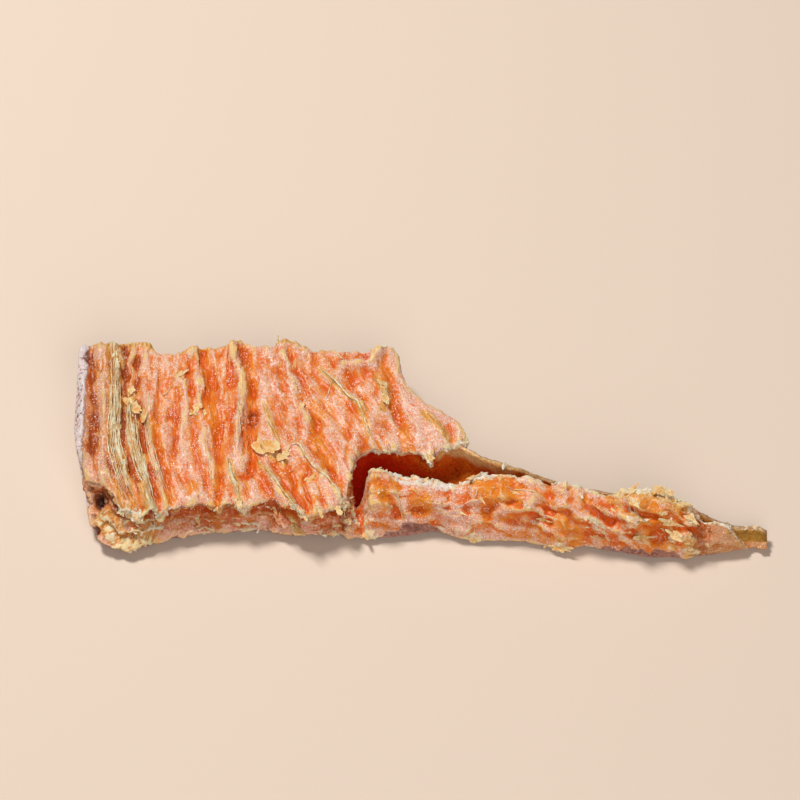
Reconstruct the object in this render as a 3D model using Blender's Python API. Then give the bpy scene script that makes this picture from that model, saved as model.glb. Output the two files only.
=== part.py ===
"""A torn, dried slice of sweet potato, lying with its skin side down.

One solid. The left half is a thick slab: a furrowed top sheet of flesh, torn along its front lip, on a
lower layer that is set back under it. Right of the slab the slice is curled into a trough: its front wall
leans back and runs on as a long tail to a square-cut tip, its floor is bare, and its back wall carries a
pointed flap of the top sheet. Lengths here are millimetres: x runs along the slice, y away from the front,
z up.
"""

import math

import bmesh
import bpy
import numpy as np
from mathutils import Vector, noise

for old in list(bpy.data.objects):
    bpy.data.objects.remove(old)

# Driving sizes
MM = 0.001
SLAB_LEFT = -72.8
SLAB_RIGHT = -13.5
FLAP_TIP = 11.0
TAIL_START = -15.0
TAIL_TIP = 74.0
LIP_HEIGHT = 9.6
BACK_HEIGHT = 11.4
SLAB_DEPTH = 45.0
SHEET_THICKNESS = 3.2
FLAP_THICKNESS = 2.3
LIP_OVERHANG = 2.4
LIP_TAPER = 5.0
WALL_THICKNESS = 3.2
SKIN_THICKNESS = 1.8
FLOOR_HEIGHT = 2.0
BELOW_GROUND = 0.4
END_LIFT = 3.2
SIDE_LIFT = 1.7
SKIN_SHOWS_TO = 6.0
FLESH_END = 58.0
FLESH_STEP = 1.1
FURROW_RISE = 1.2
FURROW_FADE = 4.0
EDGE_DROP = 1.0
EDGE_ROUND = 0.8
FLAP_CURL = 0.6
WALL_BULGE = 1.1
MARK_RISE = 1.6
STATION_STEP = 0.7
TOP_POINTS = 48
WALL_POINTS = 18
SKIN_POINTS = 7
SIDE_POINTS = 5
GRAIN = 0.7
FACES_WANTED = 10400
GROUND_SIZE = (0.2, 0.1, 0.01)

# Edges seen from above, as (x, y), and with a height, as (x, y, z)
BACK_EDGE = [
    (-73, 24), (-66, 26.5), (-57.5, 26), (-55.5, 22.8), (-49, 24), (-40.5, 25.5), (-38, 27), (-35, 24.8),
    (-30.5, 24.5), (-28.5, 27.5), (-23, 24.3), (-9, 23.5), (-4.5, 25), (-3, 20), (-1.5, 13.5), (1, 10.5),
    (8.5, 5), (10.2, 2.4), (11, -1.2),
]
LIP_EDGE = [
    (-73, 4), (-72, -3), (-70.4, -8), (-69.6, -12), (-66, -13), (-62, -18.6), (-57.5, -20.8), (-52, -19.4),
    (-45, -17.5), (-36, -18.5), (-30, -17), (-23, -21.4), (-19, -19.8), (-14.5, -17.6), (-13.8, -11),
    (-12.8, -5.6), (-11, -3.6), (-3, -3.8), (-1.5, -2.8), (1, -4.4), (3, -7), (4.8, -3.8), (9.5, -2.2),
    (11, -0.8),
]
FOOT_EDGE = [
    (-73, 3), (-71.6, -4), (-70, -12), (-69, -19), (-67, -23.2), (-64, -24.8), (-60, -25.2), (-52, -21.5),
    (-40, -19), (-31, -19.3), (-26, -20.3), (-15, -20), (-11, -21.2), (4, -18.8), (9, -21), (20, -21),
    (31, -24), (36, -22.5), (47, -25.2), (56, -26), (66, -24), (74, -21.8),
]
WALL_TOP = [
    (-15, -16.5, 8.5), (-13.6, -15.5, 6), (-12.2, -13, 3.4), (-11.2, -11.4, 4.4), (-10.4, -10.6, 11),
    (-9.6, -10.5, 13.2), (-6, -10.8, 12.2), (-2, -11, 10.4), (2, -11.3, 10.8), (8.5, -11.8, 9.3),
    (12.5, -11.6, 12), (20, -11.6, 11.6), (24, -12.2, 12.8), (28, -13.2, 11.2), (31, -14, 12.8),
    (38.5, -16, 11.4), (41, -16.3, 10.8), (43, -16.3, 13), (50, -16.2, 13.2), (54, -17.2, 12.4),
    (58, -18.4, 11), (60, -19.6, 8), (65, -21.5, 7.6), (69.5, -22.8, 2), (74, -22.4, 1.2),
]
BACK_WALL_TOP = [
    (-15, 0, 8.5), (3, 0, 8.5), (9, -2.4, 9.6), (13, -5.4, 9.8), (19, -8, 9.6), (27, -9, 7), (40, -12.2, 6.5),
    (56, -14.4, 6.8), (60, -16.8, 7.6), (65, -18.6, 7), (68, -19.6, 6), (72.5, -20.2, 5), (74, -20.8, 3.2),
]
FLAP_HOLLOW = [(-15, -17), (-14, -10), (-12.5, -3.4), (-9, -1.6), (4, -1.6), (9.5, 0.4), (11, 1.5)]

# Ridges (height above 0) and furrows (below 0) of the top sheet: height, half width, then the line from above
FURROWS = [
    (1.1, 1.5, [(-71.8, 25), (-71, 10), (-71.2, 0), (-69.5, -11)]),
    (-1.3, 1.2, [(-70.6, 23), (-69, 14), (-68.5, 5), (-68, -8)]),
    (1.0, 1.4, [(-67, 24), (-66.5, 8), (-66.3, -8), (-64, -17)]),
    (0.9, 0.9, [(-64.8, 25), (-64, 10), (-63.5, -2), (-61.5, -10), (-59, -18)]),
    (-1.3, 0.9, [(-63, 25), (-62.2, 8), (-62, 0)]),
    (1.4, 1.3, [(-61.2, 10), (-60, -2), (-58, -10), (-55, -21)]),
    (-1.4, 1.0, [(-60, 24), (-59.8, 12), (-57.6, 0), (-56, -9), (-54, -20)]),
    (1.1, 1.0, [(-57.5, 13), (-56.4, 0), (-54.5, -10), (-51.5, -19)]),
    (-0.9, 0.8, [(-56, 4), (-54, -6), (-51.2, -18)]),
    (0.8, 0.9, [(-54, 4), (-52.8, -7)]),
    (-0.9, 0.8, [(-53, 12), (-51, 0), (-51, -8)]),
    (1.1, 1.1, [(-51, 18), (-49.4, 10), (-50, 0), (-49, -7)]),
    (1.2, 1.2, [(-47.6, 24), (-46.6, 10), (-46.8, 6)]),
    (-1.2, 1.0, [(-46, 23), (-44, 15), (-43, 12)]),
    (0.9, 0.9, [(-45, 5), (-45, -2), (-42, -14)]),
    (-1.1, 0.9, [(-43, 3), (-41.5, -5), (-42, -18)]),
    (0.8, 0.7, [(-39.5, -6), (-37, -17)]),
    (1.4, 1.1, [(-39.6, 24), (-37, 11), (-38, 4), (-37.5, -8)]),
    (-1.5, 1.2, [(-36.4, 23), (-35.2, 12), (-34.4, -4), (-36.4, -14)]),
    (1.1, 1.2, [(-33, 25), (-29.6, 16), (-28.6, 12)]),
    (-1.0, 0.9, [(-31, 20), (-27.5, 12)]),
    (1.1, 1.0, [(-29, 22), (-25, 12.5)]),
    (-1.0, 0.9, [(-27.5, 20), (-22, 11)]),
    (1.0, 0.8, [(-32.5, 9), (-31, 3), (-29, -2)]),
    (1.3, 2.4, [(-33, -3), (-28.5, -4)]),
    (1.1, 1.0, [(-33.5, -7), (-28, -15.5), (-25, -20), (-22.5, -23)]),
    (0.9, 0.8, [(-26, -2.5), (-21, -9.5), (-17, -14), (-14.6, -20)]),
    (1.0, 0.9, [(-23.4, 8), (-22.3, 0)]),
    (-1.1, 0.9, [(-21.4, 8), (-21.2, -2), (-17, -12)]),
    (1.1, 0.9, [(-20.5, 18), (-16, 12), (-12, 8), (-10, 0)]),
    (1.4, 1.4, [(-18, 16), (-15, 18.4), (-9.5, 19), (-7.9, 23)]),
    (1.2, 1.2, [(-8.4, 16), (-6.6, 10), (-7, 7)]),
    (-1.5, 1.1, [(-6, 17), (-5, 10), (-2.8, 2), (-1.5, -4)]),
    (0.9, 1.2, [(1.8, 6), (5, 2), (7, -1)]),
    (-0.9, 0.9, [(4.5, 4.5), (8, 0)]),
]

# Lumps (height above 0) and notches (below 0) of the front wall: x, share of the way from its top to its
# foot, half length along x, half width as a share, height
WALL_MARKS = [
    (-7.5, 0.35, 2.0, 0.16, 0.8), (-4.0, 0.55, 1.4, 0.14, -0.9), (1.0, 0.52, 1.6, 0.09, -1.3),
    (3.5, 0.3, 2.6, 0.12, 0.8), (10.5, 0.92, 2.4, 0.1, 1.0), (9.0, 0.4, 2.0, 0.1, 0.7),
    (15.8, 0.53, 1.5, 0.13, -1.8), (16.3, 0.18, 3.6, 0.14, 1.1), (21.0, 0.45, 3.4, 0.07, 0.8),
    (22.0, 0.66, 4.0, 0.06, -0.9), (29.5, 0.95, 2.4, 0.08, 1.3), (28.0, 0.35, 4.4, 0.07, -0.8),
    (34.0, 0.55, 5.0, 0.07, 0.9), (36.0, 0.75, 3.0, 0.08, -0.9), (40.5, 0.4, 1.6, 0.2, -0.9),
    (44.8, 0.42, 1.3, 0.12, 1.3), (46.5, 0.62, 1.5, 0.1, -1.2), (48.0, 0.78, 1.4, 0.08, 1.2),
    (50.6, 0.68, 1.1, 0.16, -1.9), (51.6, 0.44, 1.3, 0.07, 1.2), (54.2, 0.66, 1.5, 0.12, 1.3),
    (50.5, 0.15, 6.0, 0.12, 1.0), (47.0, 0.28, 4.0, 0.05, -0.9), (56.5, 0.9, 2.0, 0.08, 0.9),
]

# Holes in the skin at the front left corner: place, radius, depth
PITS = [((-68.6, -16.5, 8.0), 2.0, 2.8), ((-67.6, -21.5, 3.6), 1.5, 1.8), ((-71.6, -9.0, 6.5), 1.2, 1.2)]


def rail(points, x, column=1):
    """The value of a rail's column at x, straight between its points."""
    table = np.array(points, dtype=float)
    return np.interp(x, table[:, 0], table[:, column])


def ripple(x, y, z=0.0, seed=0.0):
    """Smooth noise between about -1 and 1 at one place; its waves are about 1 unit long."""
    return noise.noise(Vector((x + seed, y - seed, z + 0.37 * seed)))


def nibble(x, wave, depth, seed):
    """How far a torn edge wanders at x: wide bites with smaller teeth on them."""
    return depth * (ripple(x / wave, 0, 0, seed) + 0.6 * ripple(x / (0.38 * wave), 3, 0, seed))


def distance_to(line, x, y):
    """The distance of (x, y) from a polyline."""
    best = 1e9
    for (ax, ay), (bx, by) in zip(line, line[1:]):
        run_x, run_y = bx - ax, by - ay
        share = ((x - ax) * run_x + (y - ay) * run_y) / (run_x * run_x + run_y * run_y)
        share = min(1.0, max(0.0, share))
        best = min(best, math.hypot(x - ax - share * run_x, y - ay - share * run_y))
    return best


def open_ends(line, x, y):
    """How much of a ridge or furrow is left near its ends: it fades out where it ends within the sheet."""
    left = 1.0
    for end_x, end_y in (line[0], line[-1]):
        if -16 < end_y < 22:
            left *= min(1.0, max(0.15, math.hypot(x - end_x, y - end_y) / FURROW_FADE))
    return left


def relief(x, y):
    """The height that ridges, furrows and the fine lengthwise wrinkles add to the top sheet."""
    height = 0.5 * ripple(x / 1.7, y / 9.0, 0, 11) + 0.4 * ripple(x / 5.0, y / 6.0, 0, 23)
    wander_x = x + 0.45 * ripple(x / 9.0, y / 3.0, 0, 15)
    for rise, half_width, line in FURROWS:
        gap = distance_to(line, wander_x, y) / half_width
        if gap < 3:
            height += FURROW_RISE * rise * open_ends(line, x, y) * math.exp(-gap * gap)
    return height


def top_height(x, y):
    """The height of the top sheet: it rises gently to the back and is rounded over at its torn edges."""
    plain = LIP_HEIGHT + (BACK_HEIGHT - LIP_HEIGHT) * (y + 20) / SLAB_DEPTH
    rim = min(y - sheet_front(x), sheet_back(x) - y, x - SLAB_LEFT + 0.4, FLAP_TIP - x + 0.4)
    curl = FLAP_CURL * max(0.0, (x + 2) / (FLAP_TIP + 2)) ** 2
    return plain + curl + relief(x, y) - EDGE_DROP * math.exp(-max(rim, 0.0) / EDGE_ROUND)


def sheet_front(x):
    """Where the top sheet is torn off at the front."""
    return float(rail(LIP_EDGE, x)) + nibble(x, 3.2, 1.1, 5)


def sheet_back(x):
    """Where the top sheet ends at the back."""
    return float(rail(BACK_EDGE, x)) + nibble(x, 4.0, 0.6, 9)


def between(start, end, count):
    """Points from start to end, the end left out, so that runs can be chained into a ring."""
    share = np.arange(count)[:, None] / count
    return [tuple(point) for point in (1 - share) * np.array(start) + share * np.array(end)]


def chain(corners, count):
    """A closed ring of (y, z) through its corners, count points to a side."""
    ring = []
    for start, end in zip(corners, corners[1:] + corners[:1]):
        ring += between(start, end, count)
    return ring


def sheet_ring(x):
    """The top sheet, or past the slab the flap, in section."""
    front, back = sheet_front(x), sheet_back(x)
    depth = float(np.interp(x, [SLAB_RIGHT - 2, SLAB_RIGHT + 6], [SHEET_THICKNESS, FLAP_THICKNESS]))
    over = [(y, top_height(x, y)) for y in np.linspace(front, back, TOP_POINTS)]
    under = [(y, z - depth * (0.4 + 0.6 * min(1.0, (y - front) / LIP_TAPER))) for y, z in over[::-1]]
    return over + under


def underside(x, low_y, high_y):
    """The skin underneath, between two depths: lowest along its middle, rising to its edges and ends."""
    foot = float(rail(FOOT_EDGE, x))
    wall_back = float(rail(BACK_WALL_TOP, x)) + SKIN_THICKNESS
    back = max(float(rail(BACK_EDGE, x)), wall_back) if x < FLAP_TIP else wall_back
    lift = END_LIFT * max(0.0, (SLAB_LEFT + 18 - x) / 18) ** 2 + 0.9 * max(0.0, (x - TAIL_TIP + 9) / 9) ** 2
    run = []
    for y in np.linspace(low_y, high_y, SKIN_POINTS):
        share = min(1.0, 2 * (y - foot) / (back - foot) - 1)
        run.append((y, lift - BELOW_GROUND + SIDE_LIFT * share**4))
    return run


def body_ring(x):
    """The layers under the top sheet, set back under the lip and, past the slab, under the flap."""
    if x < SLAB_RIGHT:
        foot = float(rail(FOOT_EDGE, x)) + nibble(x, 5.0, 0.5, 31)
        front = float(rail(LIP_EDGE, x)) + LIP_OVERHANG + nibble(x, 2.4, 0.7, 37)
    else:
        front = float(rail(FLAP_HOLLOW, x))
        foot = front - 3.5
    back = float(rail(BACK_EDGE, x))
    lift = END_LIFT * max(0.0, (SLAB_LEFT + 18 - x) / 18) ** 2
    top = LIP_HEIGHT - 1.4
    face = [(front, top), (0.5 * (front + foot) - 0.2, 5.2), (foot, 1.9 + lift)]
    rise = [(back - 1.4, 4.8 + lift), (back - 0.7, top + 0.6), (back - 2, top + 1.2)]
    return chain(face + underside(x, foot + 1.3, back - 4.5) + rise, SIDE_POINTS)


def wall_relief(x, share):
    """How far the flesh of the front wall stands out at x, with share running from its top to its foot."""
    height = 0.4 + 1.0 * ripple(x / 6.0, 8 * share, 0, 41) + 0.7 * ripple(x / 2.0, 7 * share, 0, 43)
    for place, depth, half_length, half_width, rise in WALL_MARKS:
        gap = math.hypot((x - place) / half_length, (share - depth) / half_width)
        height += MARK_RISE * rise * math.exp(-gap * gap)
    torn_share = 0.74 + 0.1 * ripple(x / 3.0, 0, 0, 47)
    torn_end = FLESH_END + 2.2 * ripple(6 * share, 2, 0, 49)
    if x < SKIN_SHOWS_TO and share > torn_share or x > torn_end:
        height -= FLESH_STEP
    return height


def trough_ring(x):
    """The curled part in section: front wall, foot, floor and back wall, open upwards."""
    foot = float(rail(FOOT_EDGE, x)) + nibble(x, 5.0, 0.5, 31)
    lip_y = float(rail(WALL_TOP, x)) + nibble(x, 3.0, 0.5, 53)
    lip_z = float(rail(WALL_TOP, x, 2)) + nibble(x, 2.4, 0.8, 59)
    back_y = float(rail(BACK_WALL_TOP, x))
    back_z = float(rail(BACK_WALL_TOP, x, 2)) + nibble(x, 3.4, 0.4, 61)
    wall = float(np.interp(x, [54, 60], [WALL_THICKNESS, SKIN_THICKNESS]))
    lip_z = max(lip_z, FLOOR_HEIGHT - 0.4)
    front_y = lip_y - 0.5 * wall
    front_z = lip_z - 0.15 * wall
    outer = []
    for share in np.linspace(0, 1, WALL_POINTS, endpoint=False):
        bulge = WALL_BULGE * math.sin(math.pi * share)
        bulge += wall_relief(x, share) * math.sin(math.pi * min(1.0, share + 0.12))
        y = front_y + (foot - front_y) * share - 0.7 * bulge
        z = front_z + (1.0 - front_z) * share + 0.7 * bulge
        outer.append((y, z))
    floor_y = min(foot + 1.7 * wall, lip_y)
    inner_y = lip_y + 0.3
    inner_z = max(lip_z - 1.0, FLOOR_HEIGHT + 0.5)
    outside = [
        (back_y + 0.8, 2.2), (back_y + SKIN_THICKNESS, max(back_z - 2.4, 2.4)), (back_y + 1.1, back_z),
    ]
    inside = [
        (back_y, back_z), (back_y - 0.4, FLOOR_HEIGHT + 1.2), (0.5 * (floor_y + back_y), FLOOR_HEIGHT),
        (floor_y, FLOOR_HEIGHT + 0.4), (inner_y, inner_z), (lip_y, lip_z),
    ]
    skin = underside(x, foot + 1.6, max(back_y - 1.2, foot + 4))
    return outer + chain([(foot, 1.0)] + skin + outside + inside, SIDE_POINTS)[:-SIDE_POINTS]


def loft(mesh, ring_at, start, end):
    """Skins the rings of ring_at between two stations and closes both ends."""
    stations = np.linspace(start, end, max(2, round((end - start) / STATION_STEP)))
    rows = [[mesh.verts.new((x, y, z)) for y, z in ring_at(x)] for x in stations]
    for near, far in zip(rows, rows[1:]):
        for here, after in zip(range(len(near)), [*range(1, len(near)), 0]):
            mesh.faces.new((near[here], near[after], far[after], far[here]))
    for row in (rows[0], rows[-1]):
        middle = sum((vert.co for vert in row), Vector()) / len(row)
        hub = mesh.verts.new(middle)
        for here, after in zip(row, row[1:] + row[:1]):
            mesh.faces.new((here, after, hub))


def evaluated_copy(thing, name):
    """The object's mesh with its modifiers applied, as a new mesh."""
    bpy.context.view_layer.update()
    ready = thing.evaluated_get(bpy.context.evaluated_depsgraph_get())
    mesh = bpy.data.meshes.new_from_object(ready)
    mesh.name = name
    return mesh


def fused_mesh():
    """The sheet, the body and the trough as one skin with an even grain."""
    shape = bmesh.new()
    loft(shape, sheet_ring, SLAB_LEFT, FLAP_TIP)
    loft(shape, body_ring, SLAB_LEFT + 0.6, FLAP_TIP - 1.4)
    loft(shape, trough_ring, TAIL_START, TAIL_TIP)
    bmesh.ops.recalc_face_normals(shape, faces=shape.faces)
    mesh = bpy.data.meshes.new("rough")
    shape.to_mesh(mesh)
    shape.free()
    rough = bpy.data.objects.new("rough", mesh)
    bpy.context.collection.objects.link(rough)
    fuse = rough.modifiers.new("fuse", "REMESH")
    fuse.mode = "VOXEL"
    fuse.voxel_size = GRAIN
    fused = evaluated_copy(rough, "slice")
    bpy.data.objects.remove(rough)
    return fused


def press_pits(mesh):
    """Sinks each pit into the skin, deepest in its middle."""
    for vert in mesh.vertices:
        for place, radius, depth in PITS:
            gap = (vert.co - Vector(place)).length / radius
            if gap < 1.5:
                vert.co -= vert.normal * depth * math.exp(-2.2 * gap * gap)


def largest_piece(mesh):
    """Drops the loose crumbs that fusing leaves, and keeps the slice itself."""
    shape = bmesh.new()
    shape.from_mesh(mesh)
    left = set(shape.verts)
    pieces = []
    while left:
        piece = {left.pop()}
        edge_of_piece = list(piece)
        while edge_of_piece:
            vert = edge_of_piece.pop()
            fresh = {link.other_vert(vert) for link in vert.link_edges} - piece
            piece |= fresh
            edge_of_piece += fresh
        left -= piece
        pieces.append(piece)
    keep = max(pieces, key=len)
    bmesh.ops.delete(shape, geom=[vert for vert in shape.verts if vert not in keep], context="VERTS")
    shape.to_mesh(mesh)
    shape.free()


def flesh_material():
    """Dried orange flesh, dull and a little waxy."""
    flesh = bpy.data.materials.new("dried_flesh")
    flesh.use_nodes = True
    surface = flesh.node_tree.nodes["Principled BSDF"]
    surface.inputs["Base Color"].default_value = (0.78, 0.27, 0.10, 1)
    surface.inputs["Roughness"].default_value = 0.62
    surface.inputs["Metallic"].default_value = 0.0
    return flesh


def build_slice():
    """The slice: fused, pitted, thinned to a few thousand faces, centred, and cut flat where it rests."""
    mesh = fused_mesh()
    press_pits(mesh)
    largest_piece(mesh)
    slice_piece = bpy.data.objects.new("slice", mesh)
    bpy.context.collection.objects.link(slice_piece)
    thin = slice_piece.modifiers.new("thin", "DECIMATE")
    thin.ratio = min(1.0, FACES_WANTED / (2 * len(mesh.polygons)))
    thinned = evaluated_copy(slice_piece, "slice")
    slice_piece.modifiers.clear()
    slice_piece.data = thinned
    corners = np.array([vert.co for vert in thinned.vertices])
    middle = (corners.min(axis=0) + corners.max(axis=0)) / 2
    for vert in thinned.vertices:
        vert.co = Vector((vert.co.x - middle[0], vert.co.y - middle[1], vert.co.z)) * MM
    thinned.materials.append(flesh_material())
    thinned.shade_smooth()
    return slice_piece


def cut_ground(slice_piece):
    """The flat spot: everything under z = 0 is cut away by a slab-shaped cutter."""
    bpy.ops.mesh.primitive_cube_add(size=1, location=(0, 0, -GROUND_SIZE[2] / 2))
    ground = bpy.context.active_object
    ground.name = "ground"
    ground.scale = GROUND_SIZE
    ground.display_type = "WIRE"
    ground.hide_render = True
    cut = slice_piece.modifiers.new("rest", "BOOLEAN")
    cut.operation = "DIFFERENCE"
    cut.object = ground


cut_ground(build_slice())
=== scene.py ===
"""A torn, dried slice of sweet potato, lying with its skin side down on a pale floor.

Lengths in the lists are millimetres, measured as on the solid: x runs along the slice, y away from its front,
z up. Shapes are worked out in them and go into their meshes in metres, in the solid's own frame.
"""
import math

import bmesh
import bpy
import numpy as np
from mathutils import Matrix, Vector, noise
from mathutils.bvhtree import BVHTree


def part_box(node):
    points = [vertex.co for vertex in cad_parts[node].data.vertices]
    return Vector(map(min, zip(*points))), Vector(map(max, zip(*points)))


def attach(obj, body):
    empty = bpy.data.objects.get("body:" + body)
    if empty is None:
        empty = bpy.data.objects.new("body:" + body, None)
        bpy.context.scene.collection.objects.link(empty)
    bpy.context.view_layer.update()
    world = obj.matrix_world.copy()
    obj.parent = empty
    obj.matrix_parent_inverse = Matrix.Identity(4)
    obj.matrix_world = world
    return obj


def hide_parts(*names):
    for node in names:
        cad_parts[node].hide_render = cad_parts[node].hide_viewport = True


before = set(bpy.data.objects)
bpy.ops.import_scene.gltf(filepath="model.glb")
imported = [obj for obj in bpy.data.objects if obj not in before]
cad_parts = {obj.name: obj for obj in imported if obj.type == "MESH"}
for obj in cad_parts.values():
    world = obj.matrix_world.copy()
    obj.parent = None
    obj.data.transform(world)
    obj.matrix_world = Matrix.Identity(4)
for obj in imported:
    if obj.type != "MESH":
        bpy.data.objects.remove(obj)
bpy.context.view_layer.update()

# The slice
# One piece of flesh with its skin, torn lengthwise and dried hard: a furrowed sheet on set-back layers, which
# curls into a trough with a bare floor and runs on as a long tail. It lies on its skin, held by nothing.

MM = 0.001
SLAB_LEFT = -72.8
SLAB_RIGHT = -13.5
FLAP_TIP = 11.0
TAIL_START = -15.0
TAIL_TIP = 74.0
LIP_HEIGHT = 9.6
BACK_HEIGHT = 11.4
SLAB_DEPTH = 45.0
SHEET_THICKNESS = 3.2
FLAP_THICKNESS = 2.3
LIP_OVERHANG = 2.4
LIP_TAPER = 5.0
WALL_THICKNESS = 3.2
SKIN_THICKNESS = 1.8
FLOOR_HEIGHT = 2.0
BELOW_GROUND = 0.4
END_LIFT = 3.2
END_LIFT_RUN = 18
TIP_LIFT = 0.9
TIP_LIFT_RUN = 9
SIDE_LIFT = 1.7
SKIN_SHOWS_TO = 6.0
FLESH_END = 58.0
FLESH_STEP = 1.1
STATION_STEP = 0.4
SKIN_CORNERS = 7
SHEET_POINTS = 110
WALL_POINTS = 46
BODY_SIDE_POINTS = 12
TROUGH_SIDE_POINTS = 10
GRAIN = 0.43
FAIRING_ROUNDS = 2
BLEND_ROUNDS = 5
EDGE_ROUNDS = 8
FORM_ROUNDS = 40
WALL_RUN = 14.0
LAYER_STEP = 3.6
LAYER_RISE = 1.3
SKIN_RIM = 2.2
RELIEF_ROOM = 0.25
FOLD_HEIGHT = 3.6
TILT_SEED = 17
FOLD_FROM = 2
FOLD_TO = 22
FOLD_FADE = 3
HOLLOW_TO = 20
HOLLOW_LEVEL = 8
RIM_SHOWS_TO = -67.5
UNDER_LIP_FROM = 5.4
LAYER_EDGE = 0.78
LAYER_EDGE_RUN = 0.2
LAYER_ROOT_RUN = 0.28

# Edges seen from above, as (x, y), and with a height, as (x, y, z)
BACK_EDGE = [
    (-73, 24), (-66, 26.5), (-57.5, 26), (-55.5, 22.8), (-49, 24), (-40.5, 25.5), (-38, 27), (-35, 24.8),
    (-30.5, 24.5), (-28.5, 27.5), (-23, 24.3), (-9, 23.5), (-4.5, 25), (-3, 20), (-1.5, 13.5), (1, 10.5),
    (8.5, 5), (10.2, 2.4), (11, -1.2),
]
LIP_EDGE = [
    (-73, 4), (-72, -3), (-70.4, -8), (-69.6, -12), (-66, -13), (-62, -18.6), (-57.5, -20.8), (-52, -19.4),
    (-45, -17.5), (-36, -18.5), (-30, -17), (-23, -21.4), (-19, -19.8), (-14.5, -17.6), (-13.8, -11),
    (-12.8, -5.6), (-11, -3.6), (-3, -3.8), (-1.5, -2.8), (1, -4.4), (3, -7), (4.8, -3.8), (9.5, -2.2),
    (11, -0.8),
]
FOOT_EDGE = [
    (-73, 3), (-71.6, -4), (-70, -12), (-69, -19), (-67, -23.2), (-64, -24.8), (-60, -25.2), (-52, -21.5),
    (-40, -19), (-31, -19.3), (-26, -20.3), (-15, -20), (-11, -21.2), (4, -18.8), (9, -21), (20, -21),
    (31, -24), (36, -22.5), (47, -25.2), (56, -26), (66, -24), (74, -21.8),
]
WALL_TOP = [
    (-15, -16.5, 8.5), (-13.6, -15.5, 6), (-12.2, -13, 3.4), (-11.2, -11.4, 4.4), (-10.4, -10.6, 11),
    (-9.6, -10.5, 13.2), (-6, -10.8, 12.2), (-2, -11, 10.4), (2, -11.3, 10.8), (8.5, -11.8, 9.3),
    (12.5, -11.6, 12), (20, -11.6, 11.6), (24, -12.2, 12.8), (28, -13.2, 11.2), (31, -14, 12.8),
    (38.5, -16, 11.4), (41, -16.3, 10.8), (43, -16.3, 13), (50, -16.2, 13.2), (54, -17.2, 12),
    (57.6, -18.2, 10.8), (58.8, -18.8, 9.4), (59.8, -19.6, 7), (65, -21.5, 7.6), (69.5, -22.8, 2),
    (74, -22.4, 1.2),
]
BACK_WALL_TOP = [
    (-15, 0, 8.5), (3, 0, 8.5), (9, -2.4, 9.6), (13, -5.4, 9.8), (19, -8, 9.6), (27, -9, 6.6),
    (36, -11.4, 5.4), (46, -13.2, 5), (56, -14.8, 4.8), (60, -17.2, 4.8), (64, -19, 4), (67, -20, 3.5),
    (72.5, -20.5, 4), (74, -20.9, 2.8),
]
FLAP_HOLLOW = [(-15, -17), (-14, -10), (-12.5, -3.4), (-9, -1.6), (4, -1.6), (9.5, 0.4), (11, 1.5)]

# Ridges (height above 0) and furrows (below 0) of the top sheet: height, half width, then the line from above
FURROWS = [
    (1.1, 1.5, [(-71.8, 25), (-71, 10), (-71.2, 0), (-69.5, -11)]),
    (-1.3, 1.2, [(-70.6, 23), (-69, 14), (-68.5, 5), (-68, -8)]),
    (1.0, 1.4, [(-67, 24), (-66.5, 8), (-66.3, -8), (-64, -17)]),
    (0.9, 0.9, [(-64.8, 25), (-64, 10), (-63.5, -2), (-61.5, -10), (-59, -18)]),
    (-1.3, 0.9, [(-63, 25), (-62.2, 8), (-62, 0)]),
    (1.4, 1.3, [(-61.2, 10), (-60, -2), (-58, -10), (-55, -21)]),
    (-1.4, 1.0, [(-60, 24), (-59.8, 12), (-57.6, 0), (-56, -9), (-54, -20)]),
    (1.1, 1.0, [(-57.5, 13), (-56.4, 0), (-54.5, -10), (-51.5, -19)]),
    (-0.9, 0.8, [(-56, 4), (-54, -6), (-51.2, -18)]),
    (0.8, 0.9, [(-54, 4), (-52.8, -7)]),
    (-0.9, 0.8, [(-53, 12), (-51, 0), (-51, -8)]),
    (1.1, 1.1, [(-51, 18), (-49.4, 10), (-50, 0), (-49, -7)]),
    (1.2, 1.2, [(-47.6, 24), (-46.6, 10), (-46.8, 6)]),
    (-1.2, 1.0, [(-46, 23), (-44, 15), (-43, 12)]),
    (0.9, 0.9, [(-45, 5), (-45, -2), (-42, -14)]),
    (-1.1, 0.9, [(-43, 3), (-41.5, -5), (-42, -18)]),
    (0.8, 0.7, [(-39.5, -6), (-37, -17)]),
    (1.4, 1.1, [(-39.6, 24), (-37, 11), (-38, 4), (-37.5, -8)]),
    (-1.5, 1.2, [(-36.4, 23), (-35.2, 12), (-34.4, -4), (-36.4, -14)]),
    (1.1, 1.2, [(-33, 25), (-29.6, 16), (-28.6, 12)]),
    (-1.0, 0.9, [(-31, 20), (-27.5, 12)]),
    (1.1, 1.0, [(-29, 22), (-25, 12.5)]),
    (-1.0, 0.9, [(-27.5, 20), (-22, 11)]),
    (1.0, 0.8, [(-32.5, 9), (-31, 3), (-29, -2)]),
    (1.3, 2.4, [(-33, -3), (-28.5, -4)]),
    (1.1, 1.0, [(-33.5, -7), (-28, -15.5), (-25, -20), (-22.5, -23)]),
    (0.9, 0.8, [(-26, -2.5), (-21, -9.5), (-17, -14), (-14.6, -20)]),
    (1.0, 0.9, [(-23.4, 8), (-22.3, 0)]),
    (-1.1, 0.9, [(-21.4, 8), (-21.2, -2), (-17, -12)]),
    (1.1, 0.9, [(-20.5, 18), (-16, 12), (-12, 8), (-10, 0)]),
    (1.4, 1.4, [(-18, 16), (-15, 18.4), (-9.5, 19), (-7.9, 23)]),
    (1.2, 1.2, [(-8.4, 16), (-6.6, 10), (-7, 7)]),
    (-1.5, 1.1, [(-6, 17), (-5, 10), (-2.8, 2), (-1.5, -4)]),
    (0.9, 1.2, [(1.8, 6), (5, 2), (7, -1)]),
    (-0.9, 0.9, [(4.5, 4.5), (8, 0)]),
]

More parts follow.
